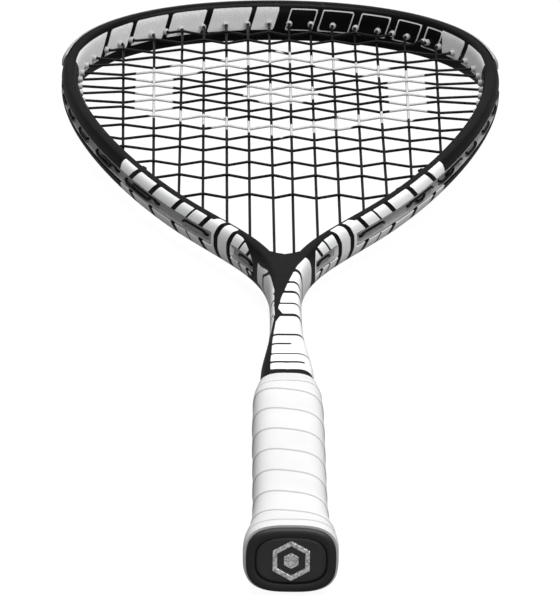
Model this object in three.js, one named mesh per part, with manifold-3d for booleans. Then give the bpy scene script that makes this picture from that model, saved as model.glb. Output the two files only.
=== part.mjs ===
// A squash racket lying flat. X runs to the right, Y from the butt end towards the head, Z up.
// The origin is the centre of the butt cap's end face, and the string bed lies in z = 0.
// Everything is in millimetres.
import * as THREE from "three";
import { mergeVertices } from "three/addons/utils/BufferGeometryUtils.js";
import Module from "manifold-3d";

const wasm = await Module();
wasm.setup();

// --- Driving dimensions -----------------------------------------------------------------------

// The moulded frame: the plan of its centreline and the size of its tube.
const TIP_Y = 680;
const WIDEST = { x: 101.5, y: 586.2 };
const FLANK = { x: 44.9, y: 396.3, angle: 0.514 }; // angle from the racket's axis, radians
const LEG_END = { x: 3.4, y: 292 };
const OUTER_REACH = 4.5; // from the centreline to the tube's outer face
const INNER_REACH = { throat: 4.9, side: 3.5, tip: 4.5 }; // and to its inner face
const TUBE_HEIGHT = { throat: 18.5, side: 14.8, tip: 20 };
const SIDE_Y = 565; // where the tube is slimmest
const FULL_TIP_Y = 640; // from here to the tip the tube has its full size
const WALL = 1.3;

// The channel around the outside of the frame that the grommet strips lie in.
const CHANNEL = { depth: 3, floorHalf: 3, mouthHalf: 3.3, fade: 2 };

// The shaft, as width and height at stations along the racket.
const SHAFT_STATIONS = [
  { y: 6, width: 16.5, height: 16 },
  { y: 150, width: 16.5, height: 16 },
  { y: 172, width: 21.8, height: 17.6 },
  { y: 198, width: 22.6, height: 18 },
  { y: 213, width: 19.6, height: 18 },
  { y: 230, width: 16, height: 18 },
  { y: 262, width: 14, height: 18 },
  { y: 300, width: 14, height: 18 },
  { y: 322, width: 15, height: 17 },
];

// The web that fills the crotch between the arms: its dished top edge and its narrow root.
const WEB = { cornerY: 332.2, halfWidth: 5.4, dishY: 329.6, rootY: 306, rootHalfWidth: 4, height: 16.4 };

// The strings: 14 mains and 18 crosses, wider apart towards the edges of the bed.
const STRING_RADIUS = 0.55;
const MAIN_PAIRS = 7;
const MAIN_FIRST = 5;
const MAIN_GAP = { least: 10.6, growth: 0.13 };
const CROSS_COUNT = 18;
const CROSS_TOP_Y = 660.2;
const CROSS_GAP = { least: 10, growth: 0.14, closest: 6 };
const WEAVE_RISE = 1.4;

// Grommet strips, their barrels and the holes they pass through, all six-sided.
const STRIP = { clearance: 0.3, thickness: 1, halfHeight: 2.7, grooveHalf: 2.15, rimBelowFace: 0.4 };
const BARREL_RADIUS = 1.6;
const BARREL_STAND_OUT = 2;
const BORE_RADIUS = 1.1;
const FRAME_HOLE_RADIUS = 2.05;
const HOLE_SIDES = 6;
const STRING_SIDES = 5;
const LOOP_SIDE = 1.3; // how far a string loop lies off the middle of the channel
const LOOP_TURN = 3; // length of channel in which a loop moves off the middle
const HOLE_PITCH = 9; // least distance along the frame between a main's hole and a cross's
const THROAT_SLANT = 9; // how far down the second main's hole slants on its way out
const KNOT = { radius: 1.5, length: 3 };

// The bumper guard over the tip, which also carries the upper grommets.
const BUMPER = { proud: 1.55, gap: 0.35 };
// The bumper's lip over the tube: out from the centreline, and up in shares of the tube's half height.
const LIP_OUTSIDE = [[6.05, 0.5], [5.4, 0.78], [3.6, 0.97]];
const LIP_INSIDE = [[2.95, 0.93], [3.95, 0.75], [4.85, 0.42]];

// Where the pieces in the channel end, as distances along the frame from a leg's end.
const THROAT_STRIP = { low: 43, high: 65.5 };
const LOWER_STRIP = { low: 85.5, high: 186.4 };
const SIDE_STRIP = { low: 187, high: 327.4 };
const BUMPER_START = 328;

// The handle: foam core, butt cap and wrapped grip.
const CORE = { startY: 4.8, endY: 166, width: 26, height: 21.4 };
const CORE_TAPER = { length: 14, width: 1.6, height: 1 };
const CORE_CLEARANCE = 0.4;
const CAP = { length: 20, width: 36.2, height: 27.4, chamfer: 0.9, rimY: 2.4, step: 0.8 };
const CAP_SKIRT = { width: 28.6, height: 24 };
const CAP_RECESS = { width: 29, height: 20.2, depth: 2.2 };
const PAD = { width: 28.2, height: 19.4, frontY: 0.9, backY: 1.9 };
const EMBLEM = { radius: 8.6, thickness: 0.6 };
const STAPLE = { y: 12, crown: 10, wire: 0.8, leg: 4.2, proud: 0.2, clearance: 0.3 };
const GRIP_STATIONS = [
  { y: 2.8, width: 38.2, height: 29.4 },
  { y: 7, width: 38.8, height: 30 },
  { y: 15, width: 37, height: 29 },
  { y: 25, width: 33.4, height: 27.2 },
  { y: 40, width: 31.4, height: 25.8 },
  { y: 75, width: 30.6, height: 25.2 },
  { y: 140, width: 30.4, height: 24.8 },
  { y: 158, width: 30, height: 24.4 },
  { y: 166, width: 29.4, height: 23.8 },
];
const GRIP_THICKNESS = 1.2;
const COLLAR_STATIONS = [
  { y: 166.4, width: 29.2, height: 23.6 },
  { y: 179, width: 25.8, height: 20.4 },
];
const COLLAR_THICKNESS = 0.9;

const SECTION_POWER = 3; // squareness of every superelliptic section
const SECTION_POINTS = 16;

// --- Materials --------------------------------------------------------------------------------

const finish = (color, roughness, metalness = 0) =>
  new THREE.MeshStandardMaterial({ color, roughness, metalness });

const LACQUER = finish(0x1c1c1e, 0.35);
const NYLON = finish(0x8c8c8e, 0.5);
const STRING = finish(0x0d0d0e, 0.4);
const FOAM = finish(0xcfc6a8, 0.9);
const WRAP = finish(0xeeeeee, 0.7);
const CAP_RUBBER = finish(0x161616, 0.6);
const PAD_PLASTIC = finish(0x2b2b2c, 0.5);
const SILVER = finish(0xc8c8c8, 0.3, 0.8);
const STEEL = finish(0x9a9da0, 0.35, 1);

// --- Solids -----------------------------------------------------------------------------------

/** Six times the volume inside a closed surface, negative when its faces point in. */
function signedVolume(points, index) {
  let total = 0;
  for (let i = 0; i < index.length; i += 3) {
    const [a, b, c] = [points[index[i]], points[index[i + 1]], points[index[i + 2]]];
    total += a.dot(new THREE.Vector3().crossVectors(b, c));
  }
  return total;
}

/** Skins rings of equal count in order. Closed ends are flat; a looped skin joins last to first. */
function loft(stations, looped = false) {
  const count = stations[0].outline.length;
  const points = stations.flatMap(({ outline, place }) => outline.map(place));
  const spans = looped ? stations.length : stations.length - 1;
  const index = [];
  for (let span = 0; span < spans; span++) {
    const near = span * count;
    const far = ((span + 1) % stations.length) * count;
    for (let i = 0; i < count; i++) {
      const next = (i + 1) % count;
      index.push(near + i, near + next, far + next, near + i, far + next, far + i);
    }
  }
  if (!looped) {
    const last = points.length - count;
    for (const [a, b, c] of THREE.ShapeUtils.triangulateShape(stations[0].outline, [])) index.push(a, c, b);
    for (const [a, b, c] of THREE.ShapeUtils.triangulateShape(stations.at(-1).outline, [])) {
      index.push(last + a, last + b, last + c);
    }
  }
  if (signedVolume(points, index) < 0) index.reverse();
  const geometry = new THREE.BufferGeometry().setFromPoints(points);
  geometry.setIndex(index);
  return geometry;
}

/** A superellipse of the given full width and height. */
function roundedOutline(width, height, count = SECTION_POINTS) {
  const bend = (value) => Math.sign(value) * Math.abs(value) ** (2 / SECTION_POWER);
  return Array.from({ length: count }, (_, i) => {
    const angle = (2 * Math.PI * (i + 0.5)) / count;
    return new THREE.Vector2((width / 2) * bend(Math.cos(angle)), (height / 2) * bend(Math.sin(angle)));
  });
}

/** A station of a solid that runs along Y: a rounded section standing across the racket's axis. */
function acrossAxis(y, width, height) {
  return {
    outline: roundedOutline(width, height),
    place: (p) => new THREE.Vector3(-p.x, y, p.y),
  };
}

/** A sleeve along Y whose outside follows the stations and whose wall has one thickness. */
function sleeve(stations, thickness) {
  const outside = stations.map(({ y, width, height }) => acrossAxis(y, width, height));
  const inside = stations.map(({ y, width, height }) =>
    acrossAxis(y, width - 2 * thickness, height - 2 * thickness),
  );
  return loft([...outside, ...inside.reverse()], true);
}

/** A straight six-sided prism between two points. */
function prism(from, to, radius) {
  const along = new THREE.Vector3().subVectors(to, from);
  const geometry = new THREE.CylinderGeometry(radius, radius, along.length(), HOLE_SIDES);
  geometry.applyQuaternion(
    new THREE.Quaternion().setFromUnitVectors(new THREE.Vector3(0, 1, 0), along.clone().normalize()),
  );
  const middle = new THREE.Vector3().addVectors(from, to).multiplyScalar(0.5);
  return geometry.translate(middle.x, middle.y, middle.z);
}

function toSolid(geometry) {
  const bare = geometry.clone();
  bare.deleteAttribute("normal");
  bare.deleteAttribute("uv");
  const merged = mergeVertices(bare, 1e-4);
  return new wasm.Manifold(
    new wasm.Mesh({
      numProp: 3,
      vertProperties: Float32Array.from(merged.attributes.position.array),
      triVerts: Uint32Array.from(merged.index.array),
    }),
  );
}

function toGeometry(solid) {
  const { vertProperties, triVerts } = solid.getMesh();
  const geometry = new THREE.BufferGeometry();
  geometry.setAttribute("position", new THREE.BufferAttribute(Float32Array.from(vertProperties), 3));
  geometry.setIndex(Array.from(triVerts));
  geometry.computeVertexNormals();
  return geometry;
}

/** Joins the first list of geometries and cuts the second list out of them. */
function build(joined, cut = []) {
  let solid = joined.map(toSolid).reduce((whole, piece) => whole.add(piece));
  for (const piece of cut) solid = solid.subtract(toSolid(piece));
  return toGeometry(solid);
}

// --- The hoop: the frame's centreline ---------------------------------------------------------

/** The centreline from the left leg's end, up the left arm, over the tip and down to the right. */
function makeHoop() {
  const run = { x: Math.sin(FLANK.angle), y: Math.cos(FLANK.angle) };
  const legPull = 45;
  const flankPull = { down: 43.2, up: 52.5 };
  const widestPull = { down: 62.1, up: 57.8 };
  const tipPull = 59.6;
  const hoop = new THREE.Path();
  hoop.moveTo(-LEG_END.x, LEG_END.y);
  hoop.bezierCurveTo(
    -LEG_END.x, LEG_END.y + legPull,
    -FLANK.x + run.x * flankPull.down, FLANK.y - run.y * flankPull.down,
    -FLANK.x, FLANK.y,
  );
  hoop.bezierCurveTo(
    -FLANK.x - run.x * flankPull.up, FLANK.y + run.y * flankPull.up,
    -WIDEST.x, WIDEST.y - widestPull.down,
    -WIDEST.x, WIDEST.y,
  );
  hoop.bezierCurveTo(-WIDEST.x, WIDEST.y + widestPull.up, -tipPull, TIP_Y, 0, TIP_Y);
  hoop.bezierCurveTo(tipPull, TIP_Y, WIDEST.x, WIDEST.y + widestPull.up, WIDEST.x, WIDEST.y);
  hoop.bezierCurveTo(
    WIDEST.x, WIDEST.y - widestPull.down,
    FLANK.x + run.x * flankPull.up, FLANK.y + run.y * flankPull.up,
    FLANK.x, FLANK.y,
  );
  hoop.bezierCurveTo(
    FLANK.x - run.x * flankPull.down, FLANK.y - run.y * flankPull.down,
    LEG_END.x, LEG_END.y + legPull,
    LEG_END.x, LEG_END.y,
  );
  return hoop;
}

const hoop = makeHoop();
const HOOP_LENGTH = hoop.getLength();
const TIP = HOOP_LENGTH / 2;

/** The point at distance s along the hoop, out from the centreline and up from the string bed. */
function onHoop(s, out, up = 0) {
  const u = THREE.MathUtils.clamp(s / HOOP_LENGTH, 0, 1);
  const centre = hoop.getPointAt(u);
  const along = hoop.getTangentAt(u);
  return new THREE.Vector3(centre.x - along.y * out, centre.y + along.x * out, up);
}

/** A size of the tube at distance s, from its values at the throat, the slim sides and the tip. */
function tubeSize(s, { throat, side, tip }) {
  const { y } = onHoop(s, 0);
  const taper = THREE.MathUtils.clamp((y - LEG_END.y) / (SIDE_Y - LEG_END.y), 0, 1);
  const low = THREE.MathUtils.lerp(throat, side, taper);
  return THREE.MathUtils.lerp(low, tip, THREE.MathUtils.smoothstep(y, SIDE_Y, FULL_TIP_Y));
}

/** The point where a string enters its barrel, if the barrel stands square to the hoop at s. */
function mouthAt(s) {
  return onHoop(s, -tubeSize(s, INNER_REACH) - BARREL_STAND_OUT - STRING_RADIUS);
}

/** The distance along the hoop, between two limits, where a measure of a string's mouth is zero. */
function findOnHoop(low, high, measure) {
  const sign = Math.sign(measure(mouthAt(low)));
  for (let step = 0; step < 40; step++) {
    const middle = (low + high) / 2;
    if (Math.sign(measure(mouthAt(middle))) === sign) low = middle;
    else high = middle;
  }
  return low;
}

const mirrored = (s) => HOOP_LENGTH - s;
const WIDEST_LEFT = findOnHoop(0.25 * HOOP_LENGTH, TIP, (p) => p.y - WIDEST.y);
const CROTCH_LEFT = findOnHoop(0, 0.25 * HOOP_LENGTH, (p) => p.y - WEB.cornerY);

// --- Where the strings pass through the frame -------------------------------------------------

const mainOffsets = [MAIN_FIRST];
for (let i = 1; i < MAIN_PAIRS; i++) {
  mainOffsets.push(mainOffsets[i - 1] + MAIN_GAP.least + MAIN_GAP.growth * (i - 1) ** 2);
}

const crossHeights = [CROSS_TOP_Y];
for (let i = 1; i < CROSS_COUNT; i++) {
  const gap = CROSS_GAP.least + CROSS_GAP.growth * (i - 1 - CROSS_GAP.closest) ** 2;
  crossHeights.push(crossHeights[i - 1] - gap);
}

const CHANNEL_FLOOR = OUTER_REACH - CHANNEL.depth;
const STRIP_FLOOR = CHANNEL_FLOOR + STRIP.clearance;
const LOOP_OUT = STRIP_FLOOR + STRIP.thickness + 1.5 * STRIP.clearance + STRING_RADIUS;

/** A hole through the tube at distance s, whose inner end may lie further along the hoop. */
function makeHole(s, slant = 0) {
  const inner = onHoop(s + slant, -tubeSize(s + slant, INNER_REACH) - BARREL_STAND_OUT);
  const outer = onHoop(s, LOOP_OUT);
  const sink = LOOP_OUT - STRIP_FLOOR - STRIP.thickness / 2;
  const seat = outer.clone().add(new THREE.Vector3().subVectors(inner, outer).setLength(sink));
  return { s, inner, outer, seat };
}

/** The same hole on the other side of the racket. */
function across(hole) {
  const flip = (p) => new THREE.Vector3(-p.x, p.y, p.z);
  return { s: mirrored(hole.s), inner: flip(hole.inner), outer: flip(hole.outer), seat: flip(hole.seat) };
}

/** Left-hand holes of the mains at the tip and the throat, innermost first. */
const mainTips = mainOffsets.map((x) => makeHole(findOnHoop(WIDEST_LEFT, TIP, (p) => p.x + x)));
const mainFeet = mainOffsets.map((x, i) => {
  const slant = i === 1 ? THROAT_SLANT : 0;
  return makeHole(findOnHoop(0, WIDEST_LEFT, (p) => p.x + x) - slant, slant);
});
/** Left-hand holes of the crosses, from the tip down. */
const crossEnds = crossHeights.map((y) => makeHole(findOnHoop(CROTCH_LEFT, TIP, (p) => p.y - y)));

/** Where a main and a cross would crowd each other, both give way along the frame. */
function spread(mains, crosses) {
  mains.forEach((_main, i) => {
    crosses.forEach((_cross, j) => {
      const gap = mains[i].s - crosses[j].s;
      if (Math.abs(gap) >= HOLE_PITCH) return;
      const push = (Math.sign(gap) * (HOLE_PITCH - Math.abs(gap))) / 2;
      mains[i] = makeHole(mains[i].s + push);
      crosses[j] = makeHole(crosses[j].s - push);
    });
  });
}
spread(mainTips, crossEnds);
spread(mainFeet, crossEnds);

/** Tie-off holes stand midway between two neighbours. */
const between = (a, b) => makeHole((a.s + b.s) / 2);
const mainTie = between(crossEnds[15], crossEnds[16]);
const crossTieTop = across(between(mainTips[5], mainTips[6]));
const crossTieBottom = across(between(crossEnds[17], mainFeet[5]));

const holes = [
  ...[...mainTips, ...mainFeet, ...crossEnds, mainTie].flatMap((hole) => [hole, across(hole)]),
  crossTieTop,
  crossTieBottom,
];

/** A six-sided prism down a hole's axis that runs past both of its ends. */
function through(hole, radius, past = 1) {
  const step = new THREE.Vector3().subVectors(hole.outer, hole.inner).setLength(past);
  return prism(hole.inner.clone().sub(step), hole.outer.clone().add(step), radius);
}

// --- The frame --------------------------------------------------------------------------------

const HOOP_STEP = HOOP_LENGTH / 76;

/** Distances along the hoop from start to end, on one shared grid, with the extra ones put in. */
function distances(start, end, extra = []) {
  const inside = [...extra];
  for (let s = Math.ceil(start / HOOP_STEP) * HOOP_STEP; s < end; s += HOOP_STEP) inside.push(s);
  const clear = 1.5;
  const kept = inside.filter((s) => s > start + clear && s < end - clear);
  return [start, ...kept, end].sort((a, b) => a - b).filter((s, i, all) => i === 0 || s - all[i - 1] > 0.4);
}

/** A station of a solid that follows the hoop. */
const alongHoop = (s, outline) => ({ outline, place: (p) => onHoop(s, p.x, p.y) });

/** How deep the channel is, as a share of its full depth. It is closed between its two lengths. */
function channelShare(s) {
  const near = Math.min(s, mirrored(s));
  const rise = (from) => THREE.MathUtils.clamp((near - from) / CHANNEL.fade + 1, 0, 1);
  return rise(THROAT_STRIP.low) - rise(THROAT_STRIP.high + CHANNEL.fade) + rise(LOWER_STRIP.low);
}

const channelEdges = [
  THROAT_STRIP.low - CHANNEL.fade, THROAT_STRIP.low,
  THROAT_STRIP.high, THROAT_STRIP.high + CHANNEL.fade,
  LOWER_STRIP.low - CHANNEL.fade, LOWER_STRIP.low,
].flatMap((s) => [s, mirrored(s)]);

/** A closed outline from its upper half, listed from outside to inside. */
function mirroredOutline(upper) {
  const lower = upper.map(([x, y]) => [x, -y]).reverse();
  return [...upper, ...lower].map(([x, y]) => new THREE.Vector2(x, y));
}

function tubeOutline(s) {
  const half = tubeSize(s, TUBE_HEIGHT) / 2;
  const inner = tubeSize(s, INNER_REACH);
  const top = 0.96 * half;
  const shoulder = 0.7 * half;
  return mirroredOutline([
    [OUTER_REACH - CHANNEL.depth * channelShare(s), CHANNEL.floorHalf],
    [OUTER_REACH - 0.05, CHANNEL.mouthHalf],
    [OUTER_REACH - 0.95, shoulder],
    [OUTER_REACH - 3, top],
    [2.6 - inner, top],
    [0.8 - inner, shoulder],
    [-inner, 0.25 * half],
  ]);
}

function tubeCavityOutline(s) {
  const half = tubeSize(s, TUBE_HEIGHT) / 2 - WALL;
  const front = CHANNEL_FLOOR - WALL;
  const back = tubeSize(s, INNER_REACH) - WALL;
  return mirroredOutline([
    [front, 0.6 * half],
    [front - 1.2, 0.96 * half],
    [0.7 - back, 0.75 * half],
    [-back, 0.3 * half],
  ]);
}

function makeWeb() {
  const plan = new THREE.Shape();
  plan.moveTo(-WEB.halfWidth, WEB.cornerY);
  plan.quadraticCurveTo(0, 2 * WEB.dishY - WEB.cornerY, WEB.halfWidth, WEB.cornerY);
  plan.lineTo(WEB.rootHalfWidth, WEB.rootY);
  plan.lineTo(-WEB.rootHalfWidth, WEB.rootY);
  const depth = WEB.height;
  const geometry = new THREE.ExtrudeGeometry(plan, { depth, bevelEnabled: false, curveSegments: 8 });
  return geometry.translate(0, 0, -depth / 2);
}

/** The hollow moulding: hoop, throat web and shaft, open at the butt end and at every string hole. */
function makeFrame() {
  const tube = distances(0, HOOP_LENGTH, channelEdges).map((s) => alongHoop(s, tubeOutline(s)));
  const everyOther = distances(0, HOOP_LENGTH).filter((_, i) => i % 2 === 0);
  const tubeCavity = everyOther.map((s) => alongHoop(s, tubeCavityOutline(s)));
  const shaft = SHAFT_STATIONS.map(({ y, width, height }) => acrossAxis(y, width, height));
  const bore = SHAFT_STATIONS.map(({ y, width, height }, i) => {
    const openEnd = i === 0 ? 2 * WALL : 0;
    const closedEnd = i === SHAFT_STATIONS.length - 1 ? 2 * WALL : 0;
    return acrossAxis(y - openEnd - closedEnd, width - 2 * WALL, height - 2 * WALL);
  });
  const hollows = [loft(tubeCavity), loft(bore)];
  const stringHoles = holes.map((hole) => through(hole, FRAME_HOLE_RADIUS));
  return build([loft(tube), loft(shaft), makeWeb()], [...hollows, ...stringHoles]);
}

// --- Grommet strips and the bumper guard ------------------------------------------------------

/** Puts a barrel with its bore on a strip for every hole whose place along the hoop it covers. */
function withBarrels(strip, start, end) {
  const covered = holes.filter(({ s }) => s > start && s < end);
  const barrels = covered.map(({ inner, seat }) => prism(inner, seat, BARREL_RADIUS));
  return build([strip, ...barrels], covered.map((hole) => through(hole, BORE_RADIUS)));
}

/** A strip with a groove down its outer face, where the string loops lie. */
function makeStrip(start, end) {
  const rim = OUTER_REACH - STRIP.rimBelowFace;
  const base = mirroredOutline([
    [STRIP_FLOOR + STRIP.thickness, STRIP.grooveHalf],
    [rim, STRIP.grooveHalf],
    [rim, STRIP.halfHeight],
    [STRIP_FLOOR, STRIP.halfHeight],
  ]);
  const strip = loft(distances(start, end).map((s) => alongHoop(s, base)));
  return withBarrels(strip, start, end);
}

/** The bumper lies in the channel, leaves a groove for the string loops and laps over the tube. */
function bumperOutline(s) {
  const half = tubeSize(s, TUBE_HEIGHT) / 2;
  const lip = [...LIP_OUTSIDE, ...LIP_INSIDE].map(([out, share]) => [out, share * half]);
  return mirroredOutline([
    [STRIP_FLOOR + STRIP.thickness, STRIP.grooveHalf],
    [OUTER_REACH + BUMPER.proud, STRIP.grooveHalf],
    ...lip,
    [OUTER_REACH + BUMPER.gap, STRIP.halfHeight],
    [STRIP_FLOOR, STRIP.halfHeight],
  ]);
}

function makeBumper() {
  const end = mirrored(BUMPER_START);
  const rings = distances(BUMPER_START, end).map((s) => alongHoop(s, bumperOutline(s)));
  return withBarrels(loft(rings), BUMPER_START, end);
}

// --- Strings ----------------------------------------------------------------------------------

/** A closed tube with a ring of corners square to the path at every point. */
function tubeThrough(path, radius) {
  const direction = (i) => {
    const before = path[Math.max(i - 1, 0)];
    const after = path[Math.min(i + 1, path.length - 1)];
    const arriving = new THREE.Vector3().subVectors(path[i], before).normalize();
    const leaving = new THREE.Vector3().subVectors(after, path[i]).normalize();
    return arriving.add(leaving).normalize();
  };
  const circle = Array.from({ length: STRING_SIDES }, (_, i) => {
    const angle = (2 * Math.PI * i) / STRING_SIDES;
    return new THREE.Vector2(Math.cos(angle), Math.sin(angle));
  });
  let heading = direction(0);
  let side = new THREE.Vector3(0, 0, 1);
  const stations = path.map((point, i) => {
    const turn = new THREE.Quaternion().setFromUnitVectors(heading, direction(i));
    heading = direction(i);
    side = side.applyQuaternion(turn).projectOnPlane(heading).normalize();
    const [u, v] = [side.clone(), new THREE.Vector3().crossVectors(heading, side)];
    const width = typeof radius === "function" ? radius(i) : radius;
    return {
      outline: circle,
      place: (p) => point.clone().addScaledVector(u, p.x * width).addScaledVector(v, p.y * width),
    };
  });
  return loft(stations);
}

/** The string's way from one hole's outer end to another's, along the channel. */
function channelRun(from, to, up) {
  const way = Math.sign(to.s - from.s);
  const start = from.s + way * LOOP_TURN;
  const end = to.s - way * LOOP_TURN;
  const steps = Math.max(1, Math.round((2 * Math.abs(end - start)) / HOOP_STEP));
  const run = Array.from({ length: steps + 1 }, (_, i) =>
    onHoop(THREE.MathUtils.lerp(start, end, i / steps), LOOP_OUT, up),
  );
  return [from.outer, ...run, to.outer];
}

/** A point just inside the bed, where a string turns from the bed into a hole. */
function mouth({ inner, outer }) {
  return inner.clone().add(new THREE.Vector3().subVectors(inner, outer).setLength(STRING_RADIUS));
}

/** Goes out through the last hole, along to a tie-off hole and back in, and ends in a knot. */
function tieOff(last, tie, up) {
  const inward = new THREE.Vector3().subVectors(tie.inner, tie.outer).normalize();
  const knotStart = tie.inner.clone().addScaledVector(inward, KNOT.radius);
  const knotEnd = knotStart.clone().addScaledVector(inward, KNOT.length);
  return [mouth(last), ...channelRun(last, tie, up), knotStart, knotEnd];
}

function makeKnot(tie) {
  const inward = new THREE.Vector3().subVectors(tie.inner, tie.outer).normalize();
  const at = (reach) => tie.inner.clone().addScaledVector(inward, KNOT.radius + reach * KNOT.length);
  const profile = [0.6, 1, 1, 0.6];
  const path = profile.map((_, i) => at(i / (profile.length - 1)));
  return tubeThrough(path, (i) => KNOT.radius * profile[i]);
}

/** One half of the mains, from the innermost main's tip hole out to the tie-off at the outermost. */
function halfMain(side) {
  const pick = (hole) => (side < 0 ? hole : across(hole));
  const path = [];
  for (let i = 0; i < MAIN_PAIRS; i++) {
    const down = i % 2 === 0;
    const [from, to] = (down ? [mainTips[i], mainFeet[i]] : [mainFeet[i], mainTips[i]]).map(pick);
    const next = down ? mainFeet[i + 1] : mainTips[i + 1];
    path.push(mouth(from), mouth(to));
    if (next) path.push(...channelRun(to, pick(next), LOOP_SIDE));
  }
  path.pop();
  return [...path, ...tieOff(pick(mainFeet[MAIN_PAIRS - 1]), pick(mainTie), LOOP_SIDE)];
}

function makeMainString() {
  const tipLoop = channelRun(mainTips[0], across(mainTips[0]), LOOP_SIDE);
  const path = [...halfMain(-1).reverse(), ...tipLoop, ...halfMain(1)];
  return build([tubeThrough(path, STRING_RADIUS), makeKnot(mainTie), makeKnot(across(mainTie))]);
}

/** How far a main stands from the racket's axis where it passes a height in the bed. */
function mainOffsetAt(i, y) {
  const [tip, foot] = [mouth(mainTips[i]), mouth(mainFeet[i])];
  return -THREE.MathUtils.mapLinear(y, foot.y, tip.y, foot.x, tip.x);
}

/** A cross goes over one main and under the next, in the opposite order to its neighbours. */
function weave(row, fromLeft) {
  const end = mouth(crossEnds[row]);
  const halfBed = -end.x - STRING_RADIUS;
  const offsets = mainOffsets.map((_, i) => mainOffsetAt(i, end.y));
  const columns = [...offsets.map((x) => -x).reverse(), ...offsets];
  const points = columns.map((x, column) => {
    const over = (row + column) % 2 === 0;
    return new THREE.Vector3(x, end.y, over ? WEAVE_RISE : -WEAVE_RISE);
  });
  const crossed = points.filter(({ x }) => Math.abs(x) < halfBed);
  return fromLeft ? crossed : crossed.reverse();
}

function makeCrossString() {
  const path = [];
  for (let row = 0; row < CROSS_COUNT; row++) {
    const fromLeft = row % 2 === 1;
    const left = crossEnds[row];
    const right = across(left);
    const [from, to] = fromLeft ? [left, right] : [right, left];
    path.push(mouth(from), ...weave(row, fromLeft), mouth(to));
    if (row + 1 < CROSS_COUNT) {
      const next = fromLeft ? across(crossEnds[row + 1]) : crossEnds[row + 1];
      path.push(...channelRun(to, next, -LOOP_SIDE));
    }
  }
  path.shift();
  path.pop();
  const head = tieOff(across(crossEnds[0]), crossTieTop, -LOOP_SIDE).reverse();
  const tail = tieOff(across(crossEnds[CROSS_COUNT - 1]), crossTieBottom, -LOOP_SIDE);
  const whole = tubeThrough([...head, ...path, ...tail], STRING_RADIUS);
  return build([whole, makeKnot(crossTieTop), makeKnot(crossTieBottom)]);
}

// --- The handle -------------------------------------------------------------------------------

/** A staple over the cap's skirt, or with a gap all round, the slot that it needs. */
function stapleSolids(side, gap) {
  const share = (STAPLE.y - CAP.rimY) / (CAP.length - CAP.rimY);
  const skirt = THREE.MathUtils.lerp(CAP.height - CAP.step, CAP_SKIRT.height, share) / 2;
  const wire = STAPLE.wire + 2 * gap;
  const top = skirt + STAPLE.proud + gap;
  const crown = new THREE.BoxGeometry(STAPLE.crown + 2 * gap, wire, wire);
  const legX = (STAPLE.crown - STAPLE.wire) / 2;
  const legs = [-legX, legX].map((x) => {
    const leg = new THREE.BoxGeometry(wire, wire, STAPLE.leg + 2 * gap);
    return leg.translate(x, STAPLE.y, side * (top - STAPLE.leg / 2 - gap));
  });
  return [crown.translate(0, STAPLE.y, side * (top - wire / 2)), ...legs];
}

const stapleSlots = [-1, 1].flatMap((side) => stapleSolids(side, STAPLE.clearance));

function makeCore() {
  const { startY, endY, width, height } = CORE;
  const stations = [
    { y: startY, width, height },
    { y: endY - CORE_TAPER.length, width, height },
    { y: endY, width: width - CORE_TAPER.width, height: height - CORE_TAPER.height },
  ];
  const body = loft(stations.map(({ y, width, height }) => acrossAxis(y, width, height)));
  const clearShaft = SHAFT_STATIONS.slice(0, 3).map(({ y, width, height }, i) =>
    acrossAxis(i === 0 ? 0 : y, width + 2 * CORE_CLEARANCE, height + 2 * CORE_CLEARANCE),
  );
  return build([body], [loft(clearShaft), ...stapleSlots]);
}

/** A cup over the core's end, with a shallow recess for the pad in its end face. */
function makeCap() {
  const inside = { width: CORE.width + 2 * CORE_CLEARANCE, height: CORE.height + 2 * CORE_CLEARANCE };
  const floorY = CORE.startY - CORE_CLEARANCE;
  const skin = [
    acrossAxis(CAP_RECESS.depth, CAP_RECESS.width, CAP_RECESS.height),
    acrossAxis(0, CAP_RECESS.width, CAP_RECESS.height),
    acrossAxis(0, CAP.width - 2 * CAP.chamfer, CAP.height - 2 * CAP.chamfer),
    acrossAxis(CAP.chamfer, CAP.width, CAP.height),
    acrossAxis(CAP.rimY, CAP.width, CAP.height),
    acrossAxis(CAP.rimY, CAP.width - CAP.step, CAP.height - CAP.step),
    acrossAxis(CAP.length, CAP_SKIRT.width, CAP_SKIRT.height),
    acrossAxis(CAP.length, inside.width, inside.height),
    acrossAxis(floorY, inside.width, inside.height),
  ];
  return build([loft(skin)], stapleSlots);
}

function makePad() {
  return loft([acrossAxis(PAD.frontY, PAD.width, PAD.height), acrossAxis(PAD.backY, PAD.width, PAD.height)]);
}

function makeEmblem() {
  const plate = new THREE.CylinderGeometry(EMBLEM.radius, EMBLEM.radius, EMBLEM.thickness, HOLE_SIDES);
  return plate.translate(0, EMBLEM.thickness / 2, 0);
}

// --- Assembly ---------------------------------------------------------------------------------

const racket = new THREE.Group();

function add(name, geometry, material) {
  const mesh = new THREE.Mesh(geometry, material);
  mesh.name = name;
  racket.add(mesh);
}

add("frame", makeFrame(), LACQUER);
add("bumper_guard", makeBumper(), NYLON);
const strips = {
  side_grommet_strip: SIDE_STRIP,
  lower_grommet_strip: LOWER_STRIP,
  throat_grommet_strip: THROAT_STRIP,
};
for (const [name, { low, high }] of Object.entries(strips)) {
  add(`${name}_left`, makeStrip(low, high), NYLON);
  add(`${name}_right`, makeStrip(mirrored(high), mirrored(low)), NYLON);
}
add("main_string", makeMainString(), STRING);
add("cross_string", makeCrossString(), STRING);
add("handle_core", makeCore(), FOAM);
add("butt_cap", makeCap(), CAP_RUBBER);
add("butt_cap_pad", makePad(), PAD_PLASTIC);
add("butt_emblem", makeEmblem(), SILVER);
add("cap_staple_upper", build(stapleSolids(1, 0)), STEEL);
add("cap_staple_lower", build(stapleSolids(-1, 0)), STEEL);
add("grip_tape", sleeve(GRIP_STATIONS, GRIP_THICKNESS), WRAP);
add("finishing_tape", sleeve(COLLAR_STATIONS, COLLAR_THICKNESS), WRAP);

export default racket;
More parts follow.
